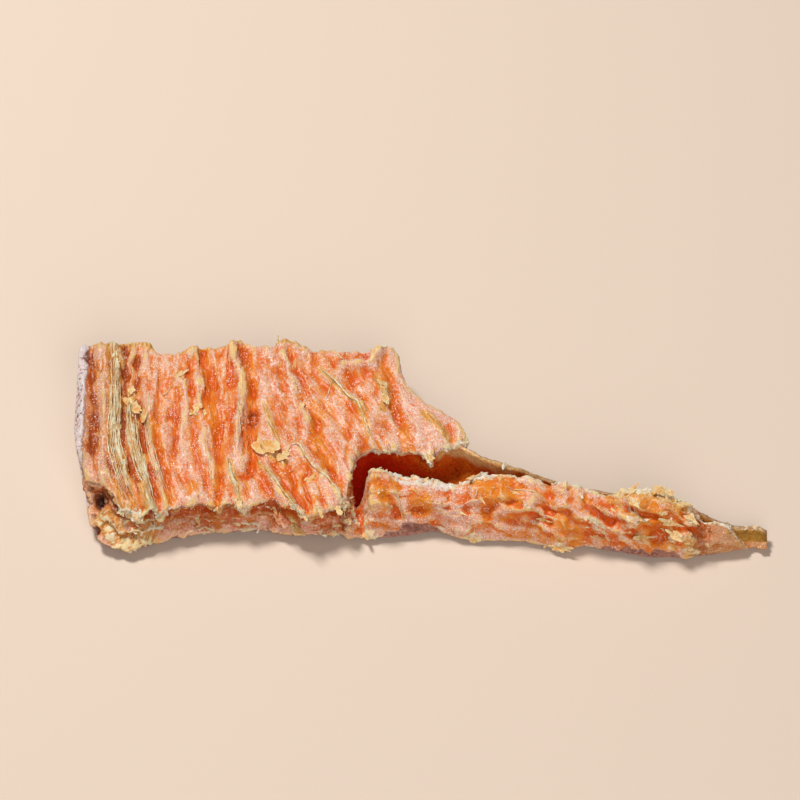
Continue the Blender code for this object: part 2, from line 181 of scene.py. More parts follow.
# Lumps (height above 0) and notches (below 0) of the front wall: x, share of the way from its top to its
# foot, half length along x, half width as a share, height
WALL_MARKS = [
    (-7.5, 0.35, 2.0, 0.16, 0.8), (-4.0, 0.55, 1.4, 0.14, -0.9), (1.0, 0.52, 1.6, 0.09, -1.3),
    (3.5, 0.3, 2.6, 0.12, 0.8), (10.5, 0.92, 2.4, 0.1, 1.0), (9.0, 0.4, 2.0, 0.1, 0.7),
    (15.0, 0.5, 0.9, 0.16, -1.1), (16.6, 0.42, 1.3, 0.07, -0.9), (16.3, 0.18, 3.6, 0.14, 1.1),
    (21.0, 0.45, 3.4, 0.07, 0.8),
    (22.0, 0.66, 4.0, 0.06, -0.9), (29.5, 0.95, 2.4, 0.08, 1.3), (28.0, 0.35, 4.4, 0.07, -0.8),
    (34.0, 0.55, 5.0, 0.07, 0.9), (36.0, 0.75, 3.0, 0.08, -0.9), (40.5, 0.4, 1.6, 0.2, -0.9),
    (44.8, 0.42, 1.3, 0.12, 1.3), (46.5, 0.62, 1.5, 0.1, -1.2), (48.0, 0.78, 1.4, 0.08, 1.2),
    (50.6, 0.68, 1.1, 0.16, -1.9), (51.6, 0.44, 1.3, 0.07, 1.2), (54.2, 0.66, 1.5, 0.12, 1.3),
    (50.5, 0.15, 6.0, 0.12, 1.0), (47.0, 0.28, 4.0, 0.05, -0.9), (56.5, 0.9, 2.0, 0.08, 0.9),
]

# Holes in the skin at the front left corner: place, radius, depth
PITS = [
    ((-67.2, -14.4, 6.4), 2.5, 3.0), ((-68.4, -17.0, 5.4), 1.4, 1.4), ((-67.6, -20.4, 4.0), 1.5, 2.0),
    ((-71.6, -8.0, 6.0), 1.0, 1.0), ((-72.2, 18.8, 8.5), 0.9, 0.9), ((-71.8, 9.7, 8.8), 0.8, 0.8),
]

# Where the flesh is yellow or cream instead of orange, seen from above: strength, half width, line
YELLOW_LINES = [
    (1.0, 2.0, [(-65, 25), (-64, 12), (-63.6, -2), (-62, -10), (-60.5, -18)]),
    (0.9, 1.6, [(-61.5, 10), (-59.5, 0), (-57.5, -10), (-55.5, -20)]),
    (0.8, 1.5, [(-62.5, 12), (-57.5, 4)]),
    (1.0, 2.4, [(-66, -18), (-62, -23.5), (-56, -23)]),
    (0.9, 1.6, [(-32, -3), (-28.5, -7)]),
    (0.9, 1.0, [(-39.5, -7), (-38, -13), (-37, -17)]),
    (0.7, 0.8, [(-32.5, 9), (-31, 3), (-29, -2)]),
    (0.7, 0.8, [(-33.4, -7), (-29.7, -12.4), (-25, -20)]),
    (0.8, 0.9, [(-20.5, 18), (-16, 12), (-12, 8), (-10, 0)]),
    (0.3, 1.1, [(-18, 16), (-15, 18.4), (-9.5, 19), (-7.9, 23)]),
    (0.7, 1.1, [(-8.4, 16), (-6.6, 10), (-7, 7)]),
    (0.7, 1.4, [(1.8, 6), (5, 2), (7, -1)]),
    (0.4, 0.7, [(-5.1, -12), (-3.4, -17), (-1.5, -19.5)]),
    (1.0, 1.0, [(10, -12), (13, -12.4), (16.5, -11.5)]),
    (0.5, 1.3, [(40, -17), (43, -20), (46.5, -22.5)]),
    (1.0, 2.2, [(44, -16.5), (50, -17), (56, -18.5)]),
    (0.8, 1.0, [(51, -22), (54, -24.8)]),
    (0.5, 1.0, [(29.5, -22.5), (31, -24)]),
    (0.9, 1.2, [(57, -25), (60, -25.5)]),
    (0.4, 1.0, [(11, -19.5), (13, -21)]),
    (0.6, 1.6, [(-72, 25), (-60, 25.4), (-50, 23.4), (-38, 26), (-28, 26.4), (-20, 24)]),
]

# Where torn layers end in dry, cream-white scraps: strength, half width, line from above
CREAM_LINES = [
    (1.0, 1.1, [(-9.6, -10.6), (-6, -10.9), (-4, -11.4)]),
    (1.1, 2.0, [(-3.4, -11.6), (0, -12.2), (4, -12.6), (8, -12.8)]),
    (0.8, 0.7, [(36, -21.4), (40.4, -22.8)]),
    (1.0, 1.2, [(9.5, -12), (13, -12), (16.5, -11.8)]),
    (0.8, 0.9, [(20, -12), (24, -12.4), (31, -14.2), (38, -16.2), (42, -16.6)]),
    (1.1, 2.0, [(42.5, -16.6), (50, -16.8), (56, -18.8)]),
    (0.9, 1.3, [(53, -18.4), (56, -19.6), (58.4, -20.8)]),
    (0.9, 1.2, [(-62.5, -19), (-58, -20.4), (-54, -20)]),
    (1.0, 1.6, [(-66, -19), (-63, -23.5), (-57, -23.5)]),
    (0.7, 1.0, [(-46, -19), (-43, -19.5)]),
    (0.7, 1.0, [(-37.5, -18.6), (-33, -19.2)]),
    (0.9, 1.0, [(-26, -19.6), (-22.6, -22.6)]),
    (0.8, 1.0, [(-17, -19.4), (-14.4, -17.6)]),
    (1.0, 1.4, [(-13.4, -17), (-10.5, -19.6), (-8.6, -20.8)]),
    (0.4, 1.1, [(-13.4, -7), (-12.4, -4.6), (-6, -3.6), (0, -3.6)]),
    (0.8, 1.0, [(3, -0.4), (9, -2.6), (13, -5.6)]),
    (1.0, 1.0, [(2.4, -4), (3, -6.8)]),
    (0.9, 1.0, [(6, -2.8), (9.4, -2.4), (10.8, -1)]),
    (0.9, 0.9, [(4, -18.2), (5.4, -18.8)]),
    (0.9, 1.0, [(11, -20.4), (13.4, -21.2)]),
    (1.0, 1.1, [(29, -23.6), (32, -24.4)]),
    (0.9, 0.9, [(44.4, -22.4), (46.6, -23.4)]),
    (0.9, 0.9, [(52, -24), (54.4, -25)]),
    (0.9, 0.9, [(45, -20.8), (46.2, -21.6)]),
    (0.9, 1.0, [(56.4, -24.8), (60, -25.6)]),
    (1.0, 0.7, [(57, -19.6), (61, -20.4), (65, -21.4)]),
    (0.9, 0.6, [(65, -21.6), (68.4, -23), (69.4, -23.2)]),
    (0.9, 0.7, [(65.6, -18.8), (69, -19.8), (73, -20.4)]),
    (0.8, 1.2, [(-72, 25.5), (-66, 26.6), (-57.5, 26), (-52, 23.6)]),
    (0.7, 1.0, [(-31, 25), (-28.5, 27.4), (-25, 25)]),
    (0.7, 1.3, [(-12, 23), (-5, 24.6), (-4, 22)]),
]

# Where the torn crest of the tail is frosted white: strength, half width, line from above
WHITE_LINES = [
    (1.0, 1.5, [(-4.5, -11.6), (-1, -12.4), (3, -13), (7, -13)]),
    (1.0, 1.1, [(9.6, -12), (12.6, -12.2), (16, -12)]),
    (0.7, 1.0, [(22, -13), (26, -13.6), (31, -14.6)]),
    (0.8, 0.8, [(44, -16.6), (50, -16.8), (53, -17.4)]),
    (1.0, 0.5, [(59, -20), (62, -20.6), (66, -21.8)]),
]

# Long lobes (height above 0) and folds (below 0) of the front wall: height, half width, then the line as x
# and how far down the wall, both in millimetres
WALL_LOBES = [
    (1.2, 1.5, [(29, 3.5), (36, 5), (41, 8), (45.5, 11.4)]),
    (-0.9, 0.9, [(28, 6.6), (35, 7.6), (41, 10.6), (44.5, 13)]),
    (1.0, 1.0, [(37.5, 1.4), (42, 3.6), (45.8, 7.4)]),
    (-0.8, 0.7, [(38, 4), (42, 6), (45, 9.4)]),
    (1.0, 1.1, [(47.6, 8.4), (50.6, 10.2), (53.8, 12.8)]),
    (0.9, 1.0, [(52, 5.6), (55.4, 8.8)]),
    (1.0, 1.5, [(12.5, 2.6), (17, 1.4), (21, 3), (23.6, 5)]),
    (0.8, 1.1, [(20, 6.4), (25, 4.6), (29.6, 7.4)]),
    (-0.8, 0.8, [(18.4, 4.6), (22, 5.4), (25, 7)]),
    (0.7, 1.2, [(17, 11), (26, 9.4), (36, 12)]),
    (-0.6, 0.8, [(3, 4.4), (8, 5.4), (12.6, 4.6)]),
    (0.8, 0.6, [(-5.2, 0.6), (-3.6, 5), (-1.4, 9.4)]),
    (0.6, 1.2, [(2, 5.8), (8, 7), (14, 9.4)]),
    (-0.7, 0.8, [(5, 10.6), (9.6, 10), (13, 11)]),
]

# Where the flesh is bare, wet-looking and deep orange: strength, half width, line
BARE_LINES = [
    (1.0, 1.5, [(0.2, -16), (1.6, -16.4)]),
    (0.8, 1.4, [(-8.5, -14), (-7, -16)]),
    (0.7, 1.0, [(-4.8, -13), (-4.2, -14)]),
    (1.0, 1.1, [(17, -15.4), (15.4, -16.8), (14.6, -18.6)]),
    (0.9, 1.8, [(13.5, -14.6), (18.5, -14.6), (20, -16.5)]),
    (0.7, 1.2, [(31, -21.5), (33.5, -22)]),
    (0.9, 1.4, [(47.2, -20), (49.5, -21.5)]),
    (0.9, 1.2, [(51.5, -22), (53.5, -22.8)]),
    (1.0, 1.5, [(49, -22.8), (50.8, -24)]),
    (0.7, 1.5, [(-62.6, -12), (-60, -18)]),
    (0.8, 1.0, [(-36.4, 23), (-35.2, 12), (-34.4, -4)]),
    (0.8, 0.9, [(-56, 4), (-54, -6), (-51.5, -17)]),
    (0.6, 1.0, [(-46, 23), (-44, 15), (-43, 4), (-41.5, -5), (-42, -18)]),
    (0.7, 1.0, [(-21.4, 8), (-21.2, -2), (-17, -12)]),
    (0.7, 1.1, [(-6, 17), (-5, 10), (-2.8, 2), (-1.5, -3)]),
    (0.6, 1.0, [(-46.8, -13), (-47.2, -14.6)]),
]

# How far down the front wall the flesh ends and the bare skin begins, as (x, millimetres down)
SHELL_LINE = [
    (-8, 14.4), (-5, 12.2), (-3, 11.2), (2, 11), (4, 12), (8, 15), (36, 15), (42, 12.4), (54, 12.2), (58, 15),
]

# Deep recesses between the torn tips of the front wall, dented and darkened with painted shade: strength,
# half width, line
RECESS_LINES = [
    (1.2, 0.9, [(50, -22.8), (52.6, -23.6)]),
    (0.8, 0.8, [(59.6, -20.8), (61.4, -22.4)]),
    (0.8, 0.6, [(54.4, -20.2), (56, -21.2)]),
]

# The kinds of surface: the furrowed top, torn flesh, skin, and the bare inside of the trough
TOP, TORN, SKIN, BARE = range(4)


def rail(points, x, column=1):
    """The value of a rail's column at x, straight between its points."""
    table = np.array(points, dtype=float)
    return np.interp(x, table[:, 0], table[:, column])


def ramp(values, start, run):
    """0 at start and 1 a run further on, held beyond both; a run below 0 leads to lower values."""
    return np.clip((values - start) / run, 0, 1)


def ripple(x, y, z=0.0, seed=0.0):
    """Smooth noise between about -1 and 1 at every place; its waves are about 1 unit long."""
    spots = np.stack(np.broadcast_arrays(x + seed, y - seed, z + 0.37 * seed), -1)
    values = [noise.noise(Vector(spot)) for spot in spots.reshape(-1, 3).tolist()]
    return np.reshape(values, spots.shape[:-1])


def nibble(x, wave, depth, seed):
    """How far a torn edge wanders at x: wide bites with smaller teeth on them."""
    return depth * (ripple(x / wave, 0, 0, seed) + 0.6 * ripple(x / (0.38 * wave), 3, 0, seed))


def distance_to(line, x, y):
    """The distance of every (x, y) from a polyline."""
    best = np.full(np.shape(x + y), 1e9)
    for (ax, ay), (bx, by) in zip(line, line[1:]):
        run_x, run_y = bx - ax, by - ay
        share = ((x - ax) * run_x + (y - ay) * run_y) / (run_x * run_x + run_y * run_y)
        share = np.clip(share, 0, 1)
        best = np.minimum(best, np.hypot(x - ax - share * run_x, y - ay - share * run_y))
    return best


def along_lines(lines, x, y):
    """How strongly every (x, y) belongs to the lines, from 0 to 1."""
    strongest = np.zeros(np.shape(x + y))
    for strength, half_width, line in lines:
        gap = distance_to(line, x, y) / half_width
        strongest = np.maximum(strongest, strength * np.exp(-gap * gap))
    return strongest


def open_ends(line, x, y):
    """How much of a ridge or furrow is left near its ends: it fades out where it ends within the sheet."""
    left = 1.2
    for end_x, end_y in (line[0], line[-1]):
        if -16 < end_y < 22:
            left = left * np.clip(np.hypot(x - end_x, y - end_y) / 4.0, 0.15, 1)
    return left


def top_height(x, y, front, back):
    """The height of the top sheet: it rises gently to the back and is rounded over at its torn edges."""
    plain = LIP_HEIGHT + (BACK_HEIGHT - LIP_HEIGHT) * (y + 20) / SLAB_DEPTH
    rim = np.minimum(np.minimum(y - front, back - y), np.minimum(x - SLAB_LEFT, FLAP_TIP - x) + 0.4)
    curl = 0.6 * np.maximum(0, (x + 2) / 13) ** 2
    height = 0.5 * ripple(x / 1.7, y / 9.0, 0, 11) + 0.4 * ripple(x / 5.0, y / 6.0, 0, 23)
    wander_x = x + 0.7 * ripple(x / 7.0, y / 3.4, 0, 15) + 0.25 * ripple(x / 2.0, y / 1.2, 0, 16)
    for number, (rise, half_width, line) in enumerate(FURROWS):
        kept = open_ends(line, x, y) * np.clip(0.8 + 1.1 * ripple(x / 7.0, y / 4.0, number, 137), 0.15, 1.4)
        height += rise * kept * np.exp(-((distance_to(line, wander_x, y) / half_width) ** 2))
    return plain + curl + height - 1.0 * np.exp(-np.maximum(rim, 0) / 0.8)


def stations(start, end):
    """Places along the slice at which it is cut across, as a column."""
    return np.linspace(start, end, round((end - start) / STATION_STEP))[:, None]


def chain(corners, kinds, count):
    """Closed rings through the corners, count points to a side, with each side's kind of surface."""
    ring_y, ring_z, ring_kinds = [], [], []
    share = np.arange(count) / count
    for (y, z), (next_y, next_z), kind in zip(corners, corners[1:] + corners[:1], kinds):
        ring_y.append(y + (next_y - y) * share)
        ring_z.append(z + (next_z - z) * share)
        ring_kinds += [kind] * count
    return np.hstack(ring_y), np.hstack(ring_z), ring_kinds


def sheet_rings():
    """The top sheet, or past the slab the flap, in section at every station."""
    x = stations(SLAB_LEFT, FLAP_TIP)
    front = rail(LIP_EDGE, x) + nibble(x, 3.2, 1.1, 5) + nibble(x, 1.3, 0.4, 6)
    back = rail(BACK_EDGE, x) + nibble(x, 4.0, 0.6, 9)
    y = front + (back - front) * np.linspace(0, 1, SHEET_POINTS)
    z = top_height(x, y, front, back)
    depth = np.interp(x, [SLAB_RIGHT - 2, SLAB_RIGHT + 6], [SHEET_THICKNESS, FLAP_THICKNESS])
    under = z - depth * (0.4 + 0.6 * np.minimum(1, (y - front) / LIP_TAPER))
    kinds = [TOP] * SHEET_POINTS + [TORN] * SHEET_POINTS
    return x, np.hstack((y, y[:, ::-1])), np.hstack((z, under[:, ::-1])), kinds


def end_lift(x):
    """How far the skin underneath rises at x to the slab's left end."""
    return END_LIFT * np.maximum(0, (SLAB_LEFT + END_LIFT_RUN - x) / END_LIFT_RUN) ** 2


def underside(x, low_y, high_y):
    """The skin underneath between two depths: it rises to its edges and to both ends."""
    foot = rail(FOOT_EDGE, x)
    wall_back = rail(BACK_WALL_TOP, x) + SKIN_THICKNESS
    back = np.where(x < FLAP_TIP, np.maximum(rail(BACK_EDGE, x), wall_back), wall_back)
    lift = end_lift(x) + TIP_LIFT * np.maximum(0, (x - TAIL_TIP + TIP_LIFT_RUN) / TIP_LIFT_RUN) ** 2
    run = []
    for share in np.linspace(0, 1, SKIN_CORNERS):
        y = low_y + (high_y - low_y) * share
        across = np.clip(2 * (y - foot) / (back - foot) - 1, -1, 1)
        run.append((y, lift - BELOW_GROUND + SIDE_LIFT * across**4))
    return run


def body_rings():
    """The layers under the top sheet, set back under the lip and, past the slab, under the flap."""
    x = stations(SLAB_LEFT + 0.6, FLAP_TIP - 1.4)
    in_slab = x < SLAB_RIGHT
    slab_front = rail(LIP_EDGE, x) + LIP_OVERHANG + nibble(x, 2.4, 0.7, 37)
    front = np.where(in_slab, slab_front, rail(FLAP_HOLLOW, x))
    foot = np.where(in_slab, rail(FOOT_EDGE, x) + nibble(x, 5.0, 0.5, 31), front - 3.5)
    back = rail(BACK_EDGE, x)
    lift = end_lift(x)
    top = LIP_HEIGHT - 1.4 + 0 * x
    face = [(front, top), (0.5 * (front + foot) - 0.2, 5.2 + 0 * x), (foot, 1.9 + lift)]
    skin = underside(x, foot + 1.3, back - 4.5)
    rise = [(back - 1.4, 4.8 + lift), (back - 0.7, top + 0.6), (back - 2, top + 1.2)]
    kinds = [TORN] * 2 + [SKIN] * (len(skin) + 1) + [SKIN, TORN, TORN]
    return x, *chain(face + skin + rise, kinds, BODY_SIDE_POINTS)


def down_wall(x, y, z):
    """How far down the front wall a place lies, in millimetres from the wall's top."""
    top_y, top_z = rail(WALL_TOP, x), rail(WALL_TOP, x, 2)
    run_y, run_z = rail(FOOT_EDGE, x) - top_y, 1 - top_z
    return WALL_RUN * ((y - top_y) * run_y + (z - top_z) * run_z) / (run_y**2 + run_z**2)


def down_layer(x, down):
    """How far down its own torn layer a place of the front wall is: 0 under the edge above, 1 at its edge."""
    lean = np.interp(x, [-10, 20, 34, 56], [0, 1.0, 5.5, 14])
    turns = (down - lean) / LAYER_STEP + 0.6 * ripple(x / 6.0, down / 4.0, 0, 113)
    turns = turns + 0.2 * ripple(x / 1.5, down / 1.5, 0, 117)
    return turns - np.floor(turns)


def wall_relief(x, share):
    """How far the flesh of the front wall stands out at x, with share running from its top to its foot."""
    height = 0.4 + 1.0 * ripple(x / 7.0, 8 * share, 0, 41) + 0.6 * ripple(x / 4.5, 11 * share, 0, 43)
    bent_x = x + 0.9 * ripple(x / 2.6, 5 * share, 0, 45)
    bent_share = share + 0.06 * ripple(x / 2.2, 5 * share, 7, 46)
    for place, depth, half_length, half_width, rise in WALL_MARKS:
        gap = np.hypot((bent_x - place) / half_length, (bent_share - depth) / half_width)
        height += 1.3 * rise * np.exp(-gap * gap)
    for rise, half_width, line in WALL_LOBES:
        gap = distance_to(line, bent_x, WALL_RUN * bent_share) / half_width
        height += 0.8 * rise * np.exp(-gap * gap)
    layer_rise = LAYER_RISE * np.interp(x, [20, 38], [0.6, 1])
    height += layer_rise * (down_layer(x, WALL_RUN * share) ** 2 - 0.35)
    torn_share = 0.74 + 0.1 * ripple(x / 3.0, 0, 0, 47)
    torn_end = FLESH_END + 2.2 * ripple(6 * share, 2, 0, 49)
    skin_shows = ((x < SKIN_SHOWS_TO) & (share > torn_share)) | (x > torn_end)
    return height - FLESH_STEP * skin_shows


def trough_rings():
    """The curled part in section: front wall, foot, floor and back wall, open upwards."""
    x = stations(TAIL_START, TAIL_TIP)
    foot = rail(FOOT_EDGE, x) + nibble(x, 5.0, 0.5, 31)
    lip_y = rail(WALL_TOP, x) + nibble(x, 3.0, 0.5, 53)
    lip_z = np.maximum(rail(WALL_TOP, x, 2) + nibble(x, 2.4, 0.8, 59), FLOOR_HEIGHT - 0.4)
    back_y = rail(BACK_WALL_TOP, x)
    back_z = rail(BACK_WALL_TOP, x, 2) + nibble(x, 3.4, 0.4, 61)
    wall = np.interp(x, [54, 60], [WALL_THICKNESS, SKIN_THICKNESS])
    front_y = lip_y - 0.5 * wall
    front_z = lip_z - 0.15 * wall
    share = np.linspace(0, 1, WALL_POINTS, endpoint=False)
    bulge = 1.1 * np.sin(np.pi * share) + wall_relief(x, share) * np.sin(np.pi * np.minimum(1, share + 0.12))
    outer_y = front_y + (foot - front_y) * share - 0.7 * bulge
    outer_z = front_z + (1.0 - front_z) * share + 0.7 * bulge
    floor_y = np.minimum(foot + 1.7 * wall, lip_y)
    inner_z = np.maximum(lip_z - 1.0, FLOOR_HEIGHT + 0.5)
    floor_z = FLOOR_HEIGHT + 0 * x
    outside = [
        (back_y + 0.8, floor_z + 0.2), (back_y + SKIN_THICKNESS, np.maximum(back_z - 2.4, 2.4)),
        (back_y + 1.1, back_z),
    ]
    inside = [
        (back_y, back_z), (back_y - 0.4, np.minimum(floor_z + 1.2, back_z - 0.5)),
        (0.5 * (floor_y + back_y), floor_z),
        (floor_y, floor_z + 0.4), (lip_y + 0.3, inner_z), (lip_y, lip_z),
    ]
    skin = underside(x, foot + 1.6, np.maximum(back_y - 1.2, foot + 2.2))
    kinds = [SKIN] * (len(skin) + 3) + [TORN] + [BARE] * 4 + [TORN] * 2
    corners = [(foot, 1.0 + 0 * x)] + skin + outside + inside
    run_y, run_z, run_kinds = chain(corners, kinds, TROUGH_SIDE_POINTS)
    ring_y = np.hstack((outer_y, run_y[:, :-TROUGH_SIDE_POINTS]))
    ring_z = np.hstack((outer_z, run_z[:, :-TROUGH_SIDE_POINTS]))
    return x, ring_y, ring_z, [TORN] * WALL_POINTS + run_kinds[:-TROUGH_SIDE_POINTS]


def loft(points, faces, face_kinds, rings, end_kinds):
    """Adds the skin of one run of rings, closed at both ends, with each face's kind of surface."""
    x, ring_y, ring_z, kinds = rings
    rows, size = ring_y.shape
    first = sum(len(run) for run in points)
    points.append(np.stack((np.broadcast_to(x, ring_y.shape), ring_y, ring_z), -1).reshape(-1, 3))
    here = np.arange(size)
    after = (here + 1) % size
    for row in range(rows - 1):
        near = first + row * size
        far = near + size
        faces += np.stack((near + here, near + after, far + after, far + here), -1).tolist()
        face_kinds += kinds
    for row, kind in ((0, end_kinds[0]), (rows - 1, end_kinds[1])):
        hub = first + rows * size + (row > 0)
        ring = points[-1][row * size:(row + 1) * size]
        points.append(ring.mean(axis=0)[None])
        start = first + row * size
        faces += [[start + one, start + other, hub] for one, other in zip(here.tolist(), after.tolist())]
        face_kinds += [kind] * size
        points[-2:] = [np.vstack(points[-2:])]


def mesh_from(points, faces, name):
    """A mesh whose faces all point outwards."""
    mesh = bpy.data.meshes.new(name)
    mesh.from_pydata(points.tolist(), [], faces)
    shape = bmesh.new()
    shape.from_mesh(mesh)
    bmesh.ops.recalc_face_normals(shape, faces=shape.faces)
    shape.to_mesh(mesh)
    shape.free()
    return mesh


def changed_mesh(source, kind, settings, inputs=None):
    """The plain mesh that one modifier makes of a mesh or a curve."""
    carrier = bpy.data.objects.new("carrier", source)
    bpy.context.collection.objects.link(carrier)
    change = carrier.modifiers.new("change", kind)
    for name, value in settings.items():
        setattr(change, name, value)
    for identifier, value in (inputs or {}).items():
        change[identifier] = value
    bpy.context.view_layer.update()
    depsgraph = bpy.context.evaluated_depsgraph_get()
    changed = bpy.data.meshes.new_from_object(carrier.evaluated_get(depsgraph), depsgraph=depsgraph)
    bpy.data.objects.remove(carrier)
    return changed


def largest_piece(mesh):
    """Drops the loose crumbs that fusing leaves, and keeps the slice itself."""
    shape = bmesh.new()
    shape.from_mesh(mesh)
    left = set(shape.verts)
    pieces = []
    while left:
        piece = {left.pop()}
        edge_of_piece = list(piece)
        while edge_of_piece:
            vert = edge_of_piece.pop()
            fresh = {link.other_vert(vert) for link in vert.link_edges} - piece
            piece |= fresh
            edge_of_piece += fresh
        left -= piece
        pieces.append(piece)
    keep = max(pieces, key=len)
    bmesh.ops.delete(shape, geom=[vert for vert in shape.verts if vert not in keep], context="VERTS")
    shape.to_mesh(mesh)
    shape.free()


def column_of(mesh, items, field, width):
    """One field of a mesh's vertices, edges or normals, as an array."""
    source = getattr(mesh, items)
    values = np.empty(len(source) * width, dtype=np.int32 if field == "vertices" else np.float32)
    source.foreach_get(field, values)
    return values.reshape(-1, width) if width > 1 else values


def smoothed(values, edges, rounds):
    """Each value drawn towards the mean of its neighbours, so many rounds over."""
    if values.ndim > 1:
        return np.stack([smoothed(column, edges, rounds) for column in values.T], -1)
    count = len(values)
    links = np.bincount(edges.ravel(), minlength=count)
    for _ in range(rounds):
        total = np.bincount(edges[:, 0], weights=values[edges[:, 1]], minlength=count)
        total += np.bincount(edges[:, 1], weights=values[edges[:, 0]], minlength=count)
        values = 0.4 * values + 0.6 * total / links
    return values


def fibre_across(x, y):
    """How far across the fibres of the top a place lies: they lean over near the lip and the flap."""
    left_lean = np.interp(y, [-22, -10, 0, 12, 25], [6.5, 2.6, 0.8, 0, 0])
    right_lean = np.interp(y, [-20, 0, 18], [9, 0, -10.4])
    share = ramp(x, -40, 18)
    return x - (1 - share) * left_lean - share * right_lean


def chips(spots):
    """Small torn plates that overlap: each has its own level and its own tilt."""
    noise.seed_set(TILT_SEED)
    heights = []
    for spot in spots.tolist():
        middle = noise.voronoi(Vector(spot))[1][0]
        level = noise.noise(7.3 * middle)
        tilt = noise.noise_vector(3.1 * middle)
        heights.append(level + 0.9 * tilt.dot(Vector(spot) - middle))
    return np.array(heights)


# The three runs as closed skins, then fused into one
rough_points, rough_faces, rough_kinds = [], [], []
for rings, left_end in ((sheet_rings(), SKIN), (body_rings(), SKIN), (trough_rings(), TORN)):
    loft(rough_points, rough_faces, rough_kinds, rings, (left_end, TORN))
rough_points = np.vstack(rough_points)
origins = BVHTree.FromPolygons(rough_points.tolist(), rough_faces)
rough_mesh = mesh_from(rough_points, rough_faces, "rough")
slice_mesh = changed_mesh(rough_mesh, "REMESH", {"mode": "VOXEL", "voxel_size": GRAIN})
largest_piece(slice_mesh)

# The place of every point of the skin, the kind of surface that it came from, and where its fibres run
places = column_of(slice_mesh, "vertices", "co", 3).astype(float)
normals = column_of(slice_mesh, "vertex_normals", "vector", 3).astype(float)
edges = column_of(slice_mesh, "edges", "vertices", 2)
pit = np.zeros(len(places))
for pit_place, pit_radius, pit_depth in PITS:
    pit_gap = np.linalg.norm(places - np.array(pit_place), axis=1) / pit_radius
    share_left = np.exp(-2.2 * pit_gap**2) * (pit_gap < 1.5)
    places -= normals * (pit_depth * share_left)[:, None]
    pit = np.maximum(pit, share_left)
places = smoothed(places, edges, FAIRING_ROUNDS)
kinds = np.array([rough_kinds[origins.find_nearest(Vector(place))[2]] for place in places.tolist()])
rim_x = SLAB_LEFT + SKIN_RIM + 0.5 * ripple(places[:, 1] / 2.5, 0, 0, 87)
kinds[places[:, 0] < rim_x] = SKIN
x, y, z = places.T
between_walls = (y > rail(WALL_TOP, x) + 0.8) & (y < rail(BACK_WALL_TOP, x) + 2)
in_hollow = (x > SLAB_RIGHT) & (x < HOLLOW_TO) & between_walls & (z < HOLLOW_LEVEL)
kinds[in_hollow & (kinds == TORN)] = BARE
shell_line = 1.6 * ripple(x / 2.6, 0, 0, 127) + 1.2 * ripple(x / 1.1, 0, 0, 128) + rail(SHELL_LINE, x)
kinds[(kinds == TORN) & (x > TAIL_START + 3) & (down_wall(x, y, z) > shell_line)] = SKIN
member = np.stack([kinds == kind for kind in (TOP, TORN, SKIN, BARE)], -1).astype(float)
member = smoothed(member, edges, BLEND_ROUNDS)
on_top, on_torn, on_skin, on_bare = member.T
middle = (places.min(axis=0) + places.max(axis=0)) / 2
wall_lean = np.interp(x, [-10, 25, 35, 50, 60], [0, 3, 5.5, 11, 13])
across = np.where(on_top > 0.5, fibre_across(x, y), 0.7 * (z - y) + wall_lean)
along = np.where(on_top > 0.5, y, x)
swell = ((places - smoothed(places, edges, FORM_ROUNDS)) * normals).sum(axis=1) / 0.5


def mottle(wave, seed):
    """Smooth noise over the whole slice, with waves about so many millimetres long."""
    return ripple(x / wave, y / wave, z / wave, seed)


# Fibres, crumbs, plates and wrinkles, each on its own kind of surface
fibre = ripple(across / 0.9, along / 7.0, 0, 61) + 0.6 * ripple(across / 0.5, along / 4.0, 0, 67)
crumb = mottle(1.3, 71) + 0.6 * mottle(0.6, 73)
plate = np.zeros(len(places))
torn_spots = on_torn > 0.05
plate[torn_spots] = chips(np.stack((along / 5.5, across / 1.5, (y + z) / 4.0), -1)[torn_spots])
shred = np.zeros(len(places))
top_spots = on_top > 0.05
bent_across = across + 0.8 * ripple(x / 6.0, y / 6.0, 0, 131)
shred[top_spots] = chips(np.stack((bent_across / 1.9, along / 8.0, 0 * x), -1)[top_spots])
swell += 0.35 * shred * on_top
# Thin cracks along the fibres: dented into the flesh, and darkened in the finish with painted shade
thread = np.abs(ripple(across / 1.9, along / 9.0, 0, 101))
cracks_and_shade = np.clip(1 - thread / 0.13, 0, 1) * np.clip(0.4 + 1.6 * mottle(9.0, 103), 0, 1)
cracks_and_shade *= on_top + 0.7 * on_torn
wrinkle = ripple(x / 3.0, y / 1.4, z / 1.4, 79) + 0.5 * ripple(x / 1.0, y / 0.8, z / 0.8, 83)
yellow = along_lines(YELLOW_LINES, x, y) * (1 - on_skin) * (1 - on_bare)
cream = along_lines(CREAM_LINES, x, y) * (1 - 0.6 * on_bare)
under_lip = on_torn * (x < SLAB_RIGHT)
down = down_wall(x, y, z)
on_wall = on_torn * (x > TAIL_START + 2) * (x < FLESH_END) * (y < rail(WALL_TOP, x) + 0.5)
in_layer = down_layer(x, down)
shown = np.clip(0.6 + 1.4 * mottle(3.0, 97), 0, 1)
layer_end = on_wall * ramp(in_layer, LAYER_EDGE, LAYER_EDGE_RUN) * shown * np.interp(x, [20, 38], [0.55, 1])
